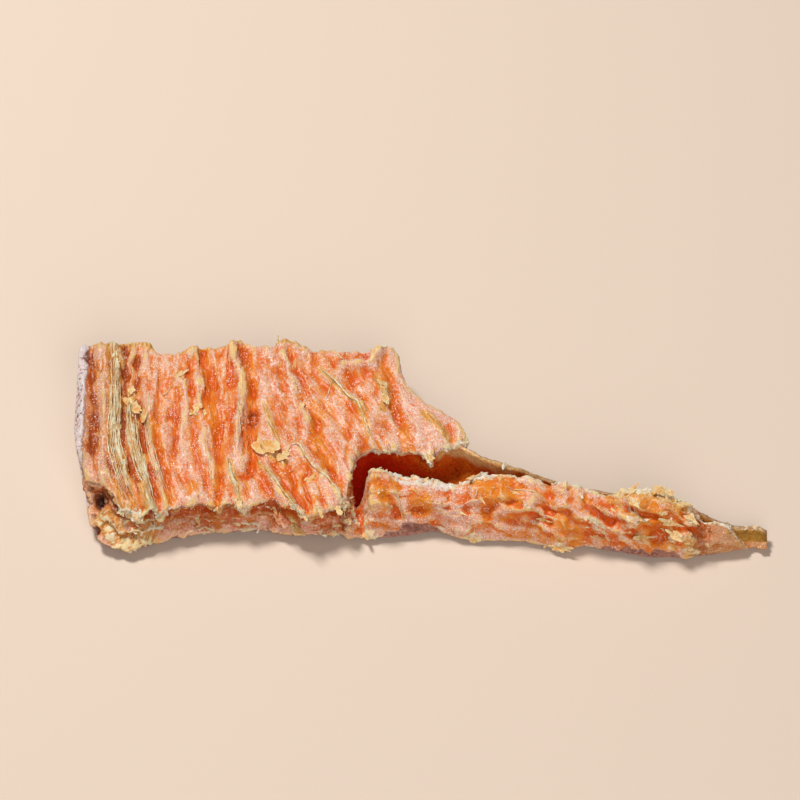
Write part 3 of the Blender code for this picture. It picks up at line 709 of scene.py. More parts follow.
# Painted shade, with a shallow dent, at the root of each layer of the front wall under the torn edge above;
# the same below each fold under the lip, in the recesses between the torn tips, and in a band right under the
# lip
cracks_and_shade = np.maximum(cracks_and_shade, 0.8 * on_wall * np.clip(1 - in_layer / LAYER_ROOT_RUN, 0, 1))
in_fold = down_layer(x + 60, 1.5 * (LIP_HEIGHT - z) + 0.5 * ripple(x / 4.0, 0, 0, 121))
fold_end = under_lip * ramp(in_fold, LAYER_EDGE, LAYER_EDGE_RUN) * shown
cracks_and_shade = np.maximum(cracks_and_shade, 0.7 * under_lip * np.clip(1 - in_fold / LAYER_ROOT_RUN, 0, 1))
recess = along_lines(RECESS_LINES, x, y) * on_torn
recess += under_lip * ramp(z, UNDER_LIP_FROM, 1.5) * (x > -66) * (1 - cream)
cracks_and_shade = np.maximum(cracks_and_shade, recess)
relief = on_top * ((0.2 + 0.3 * yellow) * fibre + 0.1 * crumb + 0.42 * shred) - 0.5 * cracks_and_shade
relief += on_torn * (0.22 * fibre + 0.06 * crumb + (0.45 - 0.15 * on_wall) * plate)
relief += under_lip * (0.5 * ripple(x / 2.2, 0, z / 6.0, 93) + 0.4 * plate + 1.0 * (in_fold**2 - 0.35))
relief += on_skin * 0.16 * wrinkle + on_bare * (0.14 * fibre + 0.05 * crumb)
wide = smoothed(member, edges, EDGE_ROUNDS)
torn_edge = wide[:, TOP] * (wide[:, TORN] + wide[:, BARE])
torn_edge += wide[:, TORN] * (wide[:, BARE] + 0.4 * wide[:, SKIN])
ragged = np.clip(0.05 + 1.1 * cream + 0.9 * mottle(3.5, 91), 0, 1)
torn_edge = np.clip(4 * torn_edge, 0, 1) * ragged
torn_edge = np.maximum(torn_edge, 0.75 * np.maximum(layer_end, fold_end))
relief += (torn_edge + cream * (on_top + on_torn)) * 0.28 * crumb
places += normals * relief[:, None]

# The same place as the solid, resting flat on the floor
solid_low, solid_high = [np.array(corner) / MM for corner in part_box("slice")]
shift = middle - (solid_low + solid_high) / 2
shift[2] = 0
resting = places - shift
resting[:, 2] = np.clip(resting[:, 2], 0, solid_high[2] + RELIEF_ROOM)
slice_mesh.vertices.foreach_set("co", resting.ravel() * MM)
slice_mesh.update()

# What the finish needs to know at every point
crest = ((places - smoothed(places, edges, BLEND_ROUNDS)) * normals).sum(axis=1) / 0.12
back_wall_y = rail(BACK_WALL_TOP, x)
behind = ramp(y - back_wall_y, -1.2, 1.2) * ramp(x, FLAP_TIP, 3)
fold = np.clip((z - rail(BACK_WALL_TOP, x, 2) + FOLD_HEIGHT) / 1.2 + ripple(x / 3.0, 0, 0, 141), 0, 1)
fold *= ramp(x, FOLD_FROM, FOLD_FADE) * ramp(x, FOLD_TO, -FOLD_FADE) * (y > back_wall_y - 2.5)
looks = {
    "crest": np.clip(crest, -1, 1),
    "swell": np.clip(swell, -1, 1),
    "cracks_and_shade": cracks_and_shade,
    "low": under_lip * (1 - yellow) * (1 - pit),
    "pit": pit,
    "behind": behind * (1 - on_bare),
    "fold": fold * on_bare,
    "white": along_lines(WHITE_LINES, x, y) * on_torn,
    "sugar": (on_top + 0.6 * on_torn) * np.clip(0.45 + 0.9 * mottle(7.0, 107), 0, 1),
    "skin": on_skin,
    "bare": on_bare,
    "edge": torn_edge,
    "yellow": yellow,
    "cream": cream * (on_top + on_torn),
    "rim": ramp(x, RIM_SHOWS_TO, -2) * on_skin,
    "wet": along_lines(BARE_LINES, x, y) * (1 - on_skin) * (1 - on_bare),
    "across": across,
    "along": along,
}
for look, values in looks.items():
    layer = slice_mesh.attributes.new(look, "FLOAT", "POINT")
    layer.data.foreach_set("value", values.astype(np.float32))
slice_mesh.shade_smooth()


class Level:
    """What one socket gives, a number mostly; sums and products of it add the Math nodes."""

    def __init__(self, tree, socket):
        self.tree = tree
        self.socket = socket

    def math(self, operation, *others):
        return self.tree.add("ShaderNodeMath", {"operation": operation}, dict(enumerate((self, *others))))

    def __add__(self, other):
        return self.math("ADD", other)

    def __sub__(self, other):
        return self.math("SUBTRACT", other)

    def __rsub__(self, other):
        return self.tree.add("ShaderNodeMath", {"operation": "SUBTRACT"}, {0: other, 1: self})

    def __mul__(self, other):
        return self.math("MULTIPLY", other)

    __radd__ = __add__
    __rmul__ = __mul__

    def rise(self, low, high):
        """0 below low, 1 above high, and smooth between them."""
        values = {"Value": self, "From Min": low, "From Max": high}
        return self.tree.add("ShaderNodeMapRange", {"interpolation_type": "SMOOTHSTEP"}, values)


class Tree:
    """A node tree; add makes one node from its type, its settings, and its sockets' values or links."""

    def __init__(self, node_tree):
        self.node_tree = node_tree
        self.nodes = node_tree.nodes
        self.links = node_tree.links

    def feed(self, socket, value):
        """Links a socket to a Level, or sets it to a plain value."""
        if isinstance(value, Level):
            self.links.new(value.socket, socket)
        else:
            socket.default_value = value

    def add(self, kind, settings, values, out=0):
        node = self.nodes.new(kind)
        for name, value in settings.items():
            setattr(node, name, value)
        for name, value in values.items():
            self.feed(node.inputs[name], value)
        return Level(self, node.outputs[out])


class Finish(Tree):
    """A material's nodes, with the steps that a finish here is made of."""

    def __init__(self, name):
        self.material = bpy.data.materials.new(name)
        self.material.use_nodes = True
        super().__init__(self.material.node_tree)
        self.surface = self.nodes["Principled BSDF"]
        self.colour = None

    def look(self, name):
        """One of the looks that the mesh carries at every point."""
        return self.add("ShaderNodeAttribute", {"attribute_name": name}, {}, "Fac")

    def place(self):
        """The object's own place, in millimetres."""
        spot = self.add("ShaderNodeTexCoord", {}, {}, "Object")
        return self.add("ShaderNodeVectorMath", {"operation": "SCALE"}, {0: spot, "Scale": 1 / MM})

    def grain(self, spot, scale, detail=3.0, roughness=0.55):
        """Noise with about so many waves to a millimetre."""
        values = {"Vector": spot, "Scale": scale, "Detail": detail, "Roughness": roughness}
        return self.add("ShaderNodeTexNoise", {}, values, "Fac")

    def blend(self, share, under, over):
        """Over laid on under by share."""
        return self.add("ShaderNodeMix", {"data_type": "RGBA"}, {0: share, 6: under, 7: over}, 2)

    def lay(self, share, over):
        """Lays one more colour on the finish by share."""
        self.colour = self.blend(share, self.colour, over)

    def bumps(self, height, depth):
        """A normal that follows a height, up to depth in millimetres."""
        values = {"Strength": 1.0, "Distance": depth * MM, "Height": height}
        return self.add("ShaderNodeBump", {}, values, "Normal")

    def set(self, **values):
        """Feeds the surface's inputs, named with _ for each space."""
        for name, value in values.items():
            self.feed(self.surface.inputs[name.replace("_", " ")], value)


def rgb(red, green, blue):
    """A colour as the nodes take it."""
    return (red, green, blue, 1.0)


# Colours of the flesh, the hollow and the skin; a pair is what a part's colour varies between
ORANGE = rgb(0.86, 0.16, 0.01), rgb(0.97, 0.32, 0.02)
BRIGHT_ORANGE = rgb(0.97, 0.44, 0.08)
FROST = rgb(0.93, 0.42, 0.27)
FROST_SPECK = rgb(1.0, 0.88, 0.8)
GOLDEN_RIDGE_AND_HIGHLIGHT = rgb(1.0, 0.62, 0.18)
GOLD = rgb(0.88, 0.4, 0.05)
BROWNED_END = rgb(0.48, 0.19, 0.05)
FIBRE_GAP_SHADE = rgb(0.42, 0.12, 0.012)
PALE_FIBRE = rgb(0.84, 0.74, 0.46)
FURROW_TONE_AND_SHADE = rgb(0.38, 0.055, 0.001), rgb(0.8, 0.11, 0.0)
BARE_JUICE_SHADED_TO_LIT = rgb(0.74, 0.12, 0.001), rgb(0.96, 0.27, 0.006)
LOWER_LAYER = rgb(0.46, 0.09, 0.015), rgb(0.9, 0.46, 0.3)
TAIL_END = rgb(0.42, 0.08, 0.006), rgb(0.6, 0.24, 0.06)
TAIL_END_SPOT = rgb(0.82, 0.42, 0.16)
STRAW = rgb(0.96, 0.72, 0.36), rgb(0.97, 0.87, 0.68)
POWDER = rgb(0.96, 0.84, 0.76)
BACK_OF_WALL = rgb(0.3, 0.13, 0.04), rgb(0.62, 0.4, 0.19)
HOLLOW = rgb(0.72, 0.016, 0.0), rgb(0.8, 0.2, 0.012)
HOLLOW_NEAR_TIP = rgb(0.36, 0.19, 0.035)
HOLLOW_STREAK = rgb(0.95, 0.34, 0.02)
HOLLOW_SPOT = rgb(0.3, 0.02, 0.0)
LINING = rgb(0.8, 0.35, 0.06), rgb(0.98, 0.7, 0.32)
SKIN_BROWN = rgb(0.22, 0.07, 0.05), rgb(0.42, 0.17, 0.1)
SKIN_DUST = rgb(0.55, 0.25, 0.2), rgb(0.96, 0.83, 0.8)
PIT_SHADE = rgb(0.1, 0.025, 0.012)
CREST_GLINT = rgb(1.0, 0.74, 0.36)
HAIR_STROKE = rgb(0.99, 0.66, 0.42)
SUGAR_DOT = rgb(0.99, 0.84, 0.76)


def hollow_colour(flesh, slice_x, streaks, fine):
    """The bare inside of the trough: dark red under the flap, brown towards the tip, pale on its fold."""
    inside = flesh.blend(slice_x.rise(-12, 25), *HOLLOW)
    inside = flesh.blend(slice_x.rise(45, 68), inside, HOLLOW_NEAR_TIP)
    inside = flesh.blend(streaks.rise(0.45, 0.7) * slice_x.rise(-20, 5) * 0.5, inside, HOLLOW_STREAK)
    inside = flesh.blend(fine.rise(0.5, 0.35) * 0.6, inside, HOLLOW_SPOT)
    threads = (streaks * 0.6 + fine * 0.4).rise(0.4, 0.6)
    return flesh.blend(flesh.look("fold"), inside, flesh.blend(threads, *LINING))


def skin_colour(flesh, patches, fine, crest):
    """Purple-brown skin under a whitish dust, which is thickest on the rim of the slab."""
    rim = flesh.look("rim")
    dust = (fine + crest * 0.2 + rim * 0.07).rise(0.47, 0.66)
    brown = flesh.blend(patches.rise(0.4, 0.6), *SKIN_BROWN)
    return flesh.blend(dust * 0.85, brown, flesh.blend(rim, *SKIN_DUST))


def flesh_finish():
    """Dried flesh: deep orange in its hollows, frosted salmon on its ridges, cream where it is torn, with
    painted shade in furrows and cracks and painted highlights on ridge crowns.
    """
    flesh = Finish("dried_flesh")
    spot = flesh.place()
    slice_x = flesh.add("ShaderNodeSeparateXYZ", {}, {0: spot}, "X")
    fine = flesh.grain(spot, 1.7, 4.0, 0.7)
    specks = flesh.grain(spot, 3.6, 2.0, 0.6)
    wide_patches = flesh.grain(spot, 0.3, 3.0, 0.6)
    fibre_place = {"X": flesh.look("across"), "Y": flesh.look("along") * 0.12}
    fibres = flesh.add("ShaderNodeCombineXYZ", {}, fibre_place)
    streaks = flesh.grain(fibres, 1.2, 4.0, 0.7)
    patches = wide_patches * 0.5 + flesh.grain(fibres, 0.45, 3.0, 0.6) * 0.5
    hairs = flesh.grain(fibres, 3.2, 2.0, 0.6)
    crest, swell = flesh.look("crest"), flesh.look("swell")
    edge, cream, white = flesh.look("edge"), flesh.look("cream"), flesh.look("white")
    yellow, wet = flesh.look("yellow"), flesh.look("wet")
    bare, skin = flesh.look("bare"), flesh.look("skin")
    cracks_and_shade, low = flesh.look("cracks_and_shade"), flesh.look("low")

    frost = fine * 0.8 + patches * 0.65 + streaks * 0.3 + swell * 0.25 - wet * 0.45 - cracks_and_shade * 0.3 - 0.05
    frost = (frost + slice_x.rise(-12, 4) * (1 - slice_x.rise(14, 20)) * 0.1).rise(0.73, 0.97)
    # Deeper where the flesh is hollow or cracked, with noisy patches of it: the flesh's own deeper orange,
    # darkened further with painted shade
    deep_tone_and_shade = (swell * -1.1 + cracks_and_shade * 0.7 + fine * 0.4 + streaks * 0.35 - 0.35).rise(0.12, 0.75)
    flesh.colour = flesh.blend(patches.rise(0.4, 0.6), *ORANGE)
    # Brighter orange along the streaks and on swells, then gold on the swells and crests of the ridges:
    # painted highlight where the flesh bulges, mixed with its own streaks and patches
    flesh.lay((streaks * 0.8 + swell * 0.35).rise(0.45, 0.65) * 0.5, BRIGHT_ORANGE)
    flesh.lay(frost * 0.9, FROST)
    flesh.lay(frost * specks.rise(0.49, 0.61) * 0.9, FROST_SPECK)
    flesh.lay((swell * 0.45 + crest * 0.25 + hairs * 0.5 + patches * 0.7).rise(0.92, 1.2) * 0.75, GOLDEN_RIDGE_AND_HIGHLIGHT)
    golden = (yellow * 0.9 + streaks * 0.6 - 0.3).rise(0.2, 0.55)
    flesh.lay(golden * 0.85 * yellow.rise(0.1, 0.5), GOLD)
    flesh.lay(slice_x.rise(-54, -66) * 0.3, BROWNED_END)
    # Dark in the gaps between the fibres of the yellow bands: painted shade
    flesh.lay(hairs.rise(0.5, 0.38) * yellow.rise(0.3, 0.8) * 0.8, FIBRE_GAP_SHADE)
    pale = (yellow * 0.5 + hairs * 0.7 + crest * 0.12).rise(0.74, 0.96)
    flesh.lay(pale * yellow.rise(0.2, 0.6), PALE_FIBRE)
    # Furrows and cracks laid dark red, nearly black at the left end: painted shade over the flesh's deeper
    # orange
    flesh.lay(deep_tone_and_shade * 0.95, flesh.blend(slice_x.rise(-66, -45), *FURROW_TONE_AND_SHADE))
    # The bare wet flesh, darker in its hollows and lighter on its swells: painted shade and painted highlight
    shaded_and_lit_juice = flesh.blend((swell + fine * 0.8).rise(-0.8, 0.8), *BARE_JUICE_SHADED_TO_LIT)
    flesh.lay(wet * (1 - frost * 0.4) * 0.85, shaded_and_lit_juice)
    flesh.lay(low * 0.5, flesh.blend(frost, *LOWER_LAYER))
    # The smooth end of the tail, dark red-brown at its left under the torn edge and tan-orange towards the
    # tip: the dark part is painted shade
    end = flesh.blend(slice_x.rise(59, 64), *TAIL_END)
    end = flesh.blend(fine.rise(0.45, 0.7) * 0.7, end, TAIL_END_SPOT)
    flesh.lay(slice_x.rise(57, 59) * 0.75, end)
    dry = (cream * 0.5 + edge * 0.35 + fine * 0.75 + crest * 0.2).rise(0.74, 1.0)
    straw = flesh.blend(patches.rise(0.45, 0.62), *STRAW)
    flesh.lay(dry * (cream + edge).rise(0.1, 0.7), straw)
    powder = (white * 0.5 + fine * 0.8 + specks * 0.4 + crest * 0.1).rise(0.86, 1.2)
    flesh.lay(powder * white.rise(0.1, 0.4), POWDER)
    flesh.lay(flesh.look("behind") * 0.8, flesh.blend(fine.rise(0.4, 0.65), *BACK_OF_WALL))
    flesh.lay(bare.rise(0.35, 0.7), hollow_colour(flesh, slice_x, streaks, fine))
    flesh.lay(skin.rise(0.3, 0.7), skin_colour(flesh, patches, fine, crest))
    # Near-black in the pits of the skin, strongest at their deepest: painted shade
    flesh.lay(flesh.look("pit").rise(0.15, 0.6) * 0.9, PIT_SHADE)
    # Thin pale lines on the crests of the ridges: painted glints
    flesh.lay(crest.rise(0.3, 0.9) * hairs.rise(0.44, 0.58) * (1 - skin) * (1 - bare) * 0.35, CREST_GLINT)
    flesh.lay(hairs.rise(0.56, 0.68) * (1 - skin) * (1 - bare) * 0.35, HAIR_STROKE)
    flesh.lay(specks.rise(0.6, 0.68) * (1 - bare) * (1 - deep_tone_and_shade * 0.6) * 0.35, SUGAR_DOT)

    gloss = 0.55 + frost * 0.2 - deep_tone_and_shade * 0.12 - wet * 0.2
    grit = fine * 0.7 + specks * 0.45 + streaks * 0.5 + hairs * 0.3
    bumps = flesh.bumps(grit, 0.8)
    flesh.set(Base_Color=flesh.colour, Roughness=gloss, Normal=bumps, Specular_IOR_Level=0.12)
    flesh.set(Coat_Weight=(1 - bare.rise(0.2, 0.6)) * 0.3, Coat_Roughness=0.3)
    flesh.set(Subsurface_Weight=0.1, Subsurface_Scale=0.0012, Subsurface_Radius=(1.0, 0.35, 0.12))
    return flesh.material


slice_piece = bpy.data.objects.new("slice_flesh", slice_mesh)
bpy.context.collection.objects.link(slice_piece)
slice_mesh.materials.clear()
slice_mesh.materials.append(flesh_finish())
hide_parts("slice")
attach(slice_piece, "root")

# The strands
# Loose fibres of the flesh, thinner than a bristle, which dried where they were pulled out. They lie over the
# furrows and are stuck down along most of their length, with a few tips curling up.

DROP_HEIGHT = 30.0
STRAND_POINTS = 40
STRAND_LIFT = 0.1
PLAN_ROUNDS = 4
SAG_ROUNDS = 6
BUNDLE_LIFTS = 0.15, 0.25
PIECE_ROOM = 0.08
WANDER_SCALE = 700.0
DOWN = Vector((0, 0, -1))

# Thickness, how far the start and the end stand off the flesh, then the line from above
STRANDS = [
    (0.34, 0.3, 0.1, [(-65, 25), (-64.3, 13), (-64.2, 2), (-62.8, -6), (-60.1, -13.4), (-59.1, -17.7)]),
    (0.3, 0.2, 0.2, [(-61.5, 9.6), (-61.2, -2), (-59, -9.6), (-56.6, -16), (-54.7, -21)]),
    (0.26, 0.3, 0.2, [(-60.2, 9), (-58.9, -2.6), (-57, -11.3), (-54.8, -19)]),
    (0.22, 0.1, 0.3, [(-63.4, 8), (-63, -4), (-61, -12), (-58.4, -19)]),
    (0.24, 0.4, 0.1, [(-54.7, 10.7), (-53.5, 11), (-52.3, 13.2)]),
    (0.2, 0.1, 0.5, [(-57.4, 12.7), (-57.2, 9), (-56.6, 6)]),
    (0.44, 0.2, 0.5, [(-39.5, -6.9), (-39, -10.2), (-38.1, -12.9), (-36.9, -16.9)]),
    (0.28, 0.4, 0.1, [(-32.5, 9), (-31.3, 3.2), (-28.8, -2.3)]),
    (0.34, 0.2, 0.3, [(-33.4, -6.9), (-29.7, -12.4), (-26.4, -18.3), (-24.9, -19.9)]),
    (0.5, 0.9, 0.1, [(-27.5, -4.5), (-27.1, -3.1), (-25.9, -2.3), (-24.6, -3.1), (-23.7, -5.3), (-21.3, -9.4),
                      (-18.3, -11.8), (-17.3, -14), (-14.9, -19)]),
    (0.5, 0.5, 0.2, [(-20.4, 17.8), (-17.1, 13.8), (-14.1, 9.6), (-12.4, 8.5), (-10.8, 3.5), (-10, 0.5)]),
    (0.26, 0.2, 0.2, [(-17.8, 14.7), (-19.2, 10.2)]),
    (0.3, 0.2, 0.2, [(-17.4, 24), (-15.5, 19.7)]),
    (0.22, 0.2, 0.4, [(-44.2, -6), (-43.4, -11), (-42.6, -14.5)]),
    (0.22, 0.3, 0.3, [(-37.6, 12), (-37.9, 6), (-37.2, 1), (-37.8, -4)]),
    (0.24, 0.2, 0.2, [(-5.2, -12.4), (-4.2, -14.8), (-3.4, -17), (-2.4, -18.6)]),
    (0.22, 0.2, 0.2, [(12.6, -14.4), (12.9, -15.4), (12.2, -16.4)]),
    (0.2, 0.1, 0.1, [(19, -14.5), (24, -15.5), (27.6, -17.6)]),
    (0.2, 0.2, 0.1, [(36, -21), (38.6, -22), (40.6, -23)]),
]

# Strands that run side by side in a bundle: how many, how far they spread, thickness, line from above
BUNDLES = [
    (8, 1.4, 0.28, [(-65.2, 25), (-64.6, 12), (-64.1, -2), (-62, -11), (-59.4, -18.4)]),
    (7, 1.2, 0.28, [(-61.8, 10), (-60, -2), (-57.4, -11), (-54.6, -20.4)]),
    (4, 0.9, 0.24, [(-58, 13), (-57, 0), (-54.6, -10), (-52, -17)]),
    (4, 0.6, 0.24, [(-40, -4), (-38.8, -11), (-37, -17.4)]),
    (3, 0.5, 0.22, [(-33.4, -7), (-29.7, -12.4), (-24.9, -20)]),
    (4, 0.9, 0.2, [(43, -17.4), (45, -20), (47.4, -22.6)]),
]
strands = list(STRANDS)
for number, (count, spread, thickness, line) in enumerate(BUNDLES):
    draw = np.random.default_rng(number)
    for strand in range(count):
        aside = spread * (2 * (strand + 0.5) / count - 1)
        cut = draw.uniform(0, 0.35, 2)
        spots = np.linspace(cut[0], 1 - cut[1], 2 + len(line)) * (len(line) - 1)
        bent = [np.interp(spots, range(len(line)), column) for column in zip(*line)]
        bent[0] = bent[0] + aside * draw.uniform(0.6, 1.3, len(spots))
        strands.append((thickness * draw.uniform(0.6, 1.2), *BUNDLE_LIFTS, list(zip(*bent))))

slice_surface = BVHTree.FromPolygons(
    [vert.co / MM for vert in slice_mesh.vertices], [face.vertices[:] for face in slice_mesh.polygons]
)


def over_slice(x, y, height):
    """The place at a height over (x, y) of the lists."""
    return Vector((x - shift[0], y - shift[1], height))


def surface_point(x, y, lift):
    """The place lift above the slice, straight over (x, y) of the lists."""
    hit = slice_surface.ray_cast(over_slice(x, y, DROP_HEIGHT), DOWN)[0]
    return hit + Vector((0, 0, lift)) if hit else None


def strand_curves():
    """Every strand as a curve on the flesh, with its thickness at each point, thin at both ends."""
    curves = bpy.data.curves.new("strand_lines", "CURVE")
    curves.dimensions = "3D"
    for thickness, first_lift, last_lift, line in strands:
        corners = np.array(line, dtype=float)
        run = np.concatenate(([0], np.cumsum(np.hypot(*np.diff(corners, axis=0).T))))
        spots = np.linspace(0, run[-1], STRAND_POINTS)
        plan = np.stack([np.interp(spots, run, column) for column in corners.T], -1)
        for _ in range(PLAN_ROUNDS):
            plan[1:-1] = (plan[:-2] + 2 * plan[1:-1] + plan[2:]) / 4
        share = spots / run[-1]
        lifts = STRAND_LIFT + first_lift * (1 - share) ** 3 + last_lift * share**3
        points = [surface_point(*place, lift) for place, lift in zip(plan, lifts)]
        widths = thickness * np.sin(np.pi * np.clip(share, 0.04, 0.96)) ** 0.5 / 2
        kept = [(point, width) for point, width in zip(points, widths) if point]
        heights = np.array([point.z for point, width in kept])
        for _ in range(SAG_ROUNDS):
            heights[1:-1] = np.maximum(heights[1:-1], (heights[:-2] + heights[2:]) / 2)
        spline = curves.splines.new("POLY")
        spline.points.add(len(kept) - 1)
        for knot, (point, width), height in zip(spline.points, kept, heights):
            knot.co = (point.x * MM, point.y * MM, height * MM, 1)
            knot.radius = width * MM
    return curves


def new_group(name, sizes):
    """A Geometry Nodes tree with named inputs for its sizes, what they give, and their identifiers."""
    group = bpy.data.node_groups.new(name, "GeometryNodeTree")
    for in_out in ("INPUT", "OUTPUT"):
        group.interface.new_socket("Geometry", in_out=in_out, socket_type="NodeSocketGeometry")
    identifiers = {}
    for size, kind in sizes.items():
        socket = group.interface.new_socket(size, in_out="INPUT", socket_type="NodeSocket" + kind)
        identifiers[size] = socket.identifier
    tree = Tree(group)
    start = tree.nodes.new("NodeGroupInput")
    given = {socket.name: Level(tree, socket) for socket in start.outputs if socket.name}
    return tree, given, identifiers


def end_group(tree, geometry, material):
    """Ends a tree in real geometry with its material."""
    real = tree.add("GeometryNodeRealizeInstances", {}, {"Geometry": geometry})
    finished = tree.add("GeometryNodeSetMaterial", {}, {"Geometry": real, "Material": material})
    tree.feed(tree.nodes.new("NodeGroupOutput").inputs[0], finished)


def grown_mesh(source, grower, sizes):
    """The plain mesh that a tree grows on a curve or a mesh, with these sizes."""
    tree, identifiers = grower
    inputs = {identifiers[size]: value for size, value in sizes.items()}
    return changed_mesh(source, "NODES", {"node_group": tree.node_tree}, inputs)


def place_piece(name, mesh):
    """The finished mesh as a piece of the slice, between the floor and the room that the relief has."""
    spots = column_of(mesh, "vertices", "co", 3)
    spots[:, 2] = np.clip(spots[:, 2], 0, (solid_high[2] + RELIEF_ROOM + PIECE_ROOM) * MM)
    mesh.vertices.foreach_set("co", spots.ravel())
    mesh.update()
    mesh.name = name
    piece = bpy.data.objects.new(name, mesh)
    bpy.context.collection.objects.link(piece)
    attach(piece, "root")


def cream_finish(name, dark, light):
    """Dried fibre: pale and a little see-through, palest at the thin rim of a flake."""
    fibre = Finish(name)
    spot = fibre.place()
    fine = fibre.grain(spot, 2.5, 3.0)
    share = (fibre.grain(spot, 0.5, 3.0) + fine * 0.6 + fibre.look("thin") * 0.12).rise(0.6, 1.0)
    fibre.set(Base_Color=fibre.blend(share, dark, light), Roughness=0.5, Normal=fibre.bumps(fine, 0.5))
    fibre.set(Subsurface_Weight=0.2, Subsurface_Scale=0.0008, Subsurface_Radius=(1.0, 0.6, 0.3))
    return fibre.material


def strand_group(material):
    """Curves become tubes with a few sides, which wander a little off their line."""
    sizes = {"Spacing": "Float", "Wander": "Float", "Sides": "Int"}
    tree, given, identifiers = new_group("strand_tubes", sizes)
    steps = {"Curve": given["Geometry"], "Length": given["Spacing"]}
    resampled = tree.add("GeometryNodeResampleCurve", {"mode": "LENGTH"}, steps)
    wave = tree.add("ShaderNodeTexNoise", {}, {"Scale": WANDER_SCALE, "Detail": 2.0}, "Color")
    centred = tree.add("ShaderNodeVectorMath", {"operation": "SUBTRACT"}, {0: wave, 1: (0.5, 0.5, 0.5)})
    offset = tree.add("ShaderNodeVectorMath", {"operation": "SCALE"}, {0: centred, "Scale": given["Wander"]})
    moved = tree.add("GeometryNodeSetPosition", {}, {"Geometry": resampled, "Offset": offset})
    ring = tree.add("GeometryNodeCurvePrimitiveCircle", {}, {"Resolution": given["Sides"], "Radius": 1.0})
    width = tree.add("GeometryNodeInputNamedAttribute", {}, {"Name": "radius"})
    tube = {"Curve": moved, "Profile Curve": ring, "Scale": width, "Fill Caps": True}
    end_group(tree, tree.add("GeometryNodeCurveToMesh", {}, tube), material)
    return tree, identifiers


strand_tubes = strand_group(cream_finish("cream_fibre", rgb(0.76, 0.38, 0.1), rgb(0.93, 0.84, 0.58)))
strand_sizes = {"Spacing": 0.3 * MM, "Wander": 0.5 * MM, "Sides": 6}
strand_mesh = grown_mesh(strand_curves(), strand_tubes, strand_sizes)
strand_mesh.shade_smooth()
place_piece("strands", strand_mesh)

# The torn flakes
# Scraps of the torn layers, of the same dried flesh and as thin as paper: small ragged plates that still
# hang on by one side along every torn edge.

FLAKE_CORNERS = 9
FLAKE_KINDS = 5
FLAKE_RAGGED = 0.28


def scrap(seed, corners=FLAKE_CORNERS, ragged=FLAKE_RAGGED, bend=1.0, taper=0.0):
    """One ragged plate a unit long, bent and closed all round; taper narrows its far end."""
    shape = bmesh.new()
    thin = shape.verts.layers.float.new("thin")
    rims = []
    for level, shrink in ((0.05, 1.0), (0.05, 0.5), (-0.05, 0.94), (-0.05, 0.5)):
        rim = []
        for corner in range(corners):
            turn = 2 * math.pi * corner / corners
            reach = 0.5 + ragged * noise.noise(Vector((1.7 * math.cos(turn), 1.7 * math.sin(turn), seed)))
            reach += 0.3 * ragged * noise.noise(Vector((5 * math.cos(turn), 5 * math.sin(turn), seed + 4)))
            x = shrink * reach * math.cos(turn)
            y = 0.5 * shrink * reach * math.sin(turn) * (1 - taper * (x + 0.5))
            z = bend * (0.5 * x * x - 0.6 * y * y + 0.2 * noise.noise(Vector((3 * x, 3 * y, seed + 9))))
            corner_vert = shape.verts.new((x, y, z + level))
            corner_vert[thin] = float(shrink > 0.9)
            rim.append(corner_vert)
        rims.append(rim)
    upper, upper_middle, lower, lower_middle = rims
    for here in range(corners):
        after = (here + 1) % corners
        for outer, inner in ((upper, upper_middle), (lower, upper), (lower_middle, lower)):
            shape.faces.new((outer[here], outer[after], inner[after], inner[here]))
    for rim in (upper_middle, lower_middle[::-1]):
        shape.faces.new(rim)
    bmesh.ops.triangulate(shape, faces=shape.faces)
    mesh = bpy.data.meshes.new("scrap")
    shape.to_mesh(mesh)
    shape.free()
    return mesh


def scatter_group(name, shapes, material, density_look, seed):
    """Copies of the shapes, strewn over a mesh by one of its looks and laid along its surface."""
    sizes = dict.fromkeys(("Density", "Smallest", "Largest", "Tilt", "Flatness"), "Float")
    tree, given, identifiers = new_group(name, sizes)
    look = tree.add("GeometryNodeInputNamedAttribute", {}, {"Name": density_look})
    spread = {"Mesh": given["Geometry"], "Density": look * look * given["Density"], "Seed": seed}
    points = tree.add("GeometryNodeDistributePointsOnFaces", {}, spread, "Points")
    lying = Level(tree, points.socket.node.outputs["Rotation"])
    draw = {0: (-1.0, -1.0, -1.0), "Seed": seed + 1}
    turn = tree.add("FunctionNodeRandomValue", {"data_type": "FLOAT_VECTOR"}, draw)
    lean = tree.add("ShaderNodeVectorMath", {"operation": "MULTIPLY"}, {0: turn, 1: (1.0, 1.0, 6.0)})
    lean = tree.add("ShaderNodeVectorMath", {"operation": "SCALE"}, {0: lean, "Scale": given["Tilt"]})
    spin = tree.add("FunctionNodeEulerToRotation", {}, {0: lean})
    turned = tree.add("FunctionNodeRotateRotation", {"rotation_space": "LOCAL"}, {0: lying, 1: spin})
    draw = {2: given["Smallest"], 3: given["Largest"], "Seed": seed + 2}
    size = tree.add("FunctionNodeRandomValue", {"data_type": "FLOAT"}, draw, 1)
    flat = tree.add("ShaderNodeCombineXYZ", {}, {0: size, 1: size, 2: size * given["Flatness"]})
    holder = bpy.data.collections.new(name + "_shapes")
    for number, shape in enumerate(shapes):
        holder.objects.link(bpy.data.objects.new(f"{name}_{number}", shape))
    kinds = {"Collection": holder, "Separate Children": True, "Reset Children": True}
    variants = tree.add("GeometryNodeCollectionInfo", {}, kinds)
    lay = {"Points": points, "Instance": variants, "Pick Instance": True, "Rotation": turned, "Scale": flat}
    end_group(tree, tree.add("GeometryNodeInstanceOnPoints", {}, lay), material)
    return tree, identifiers


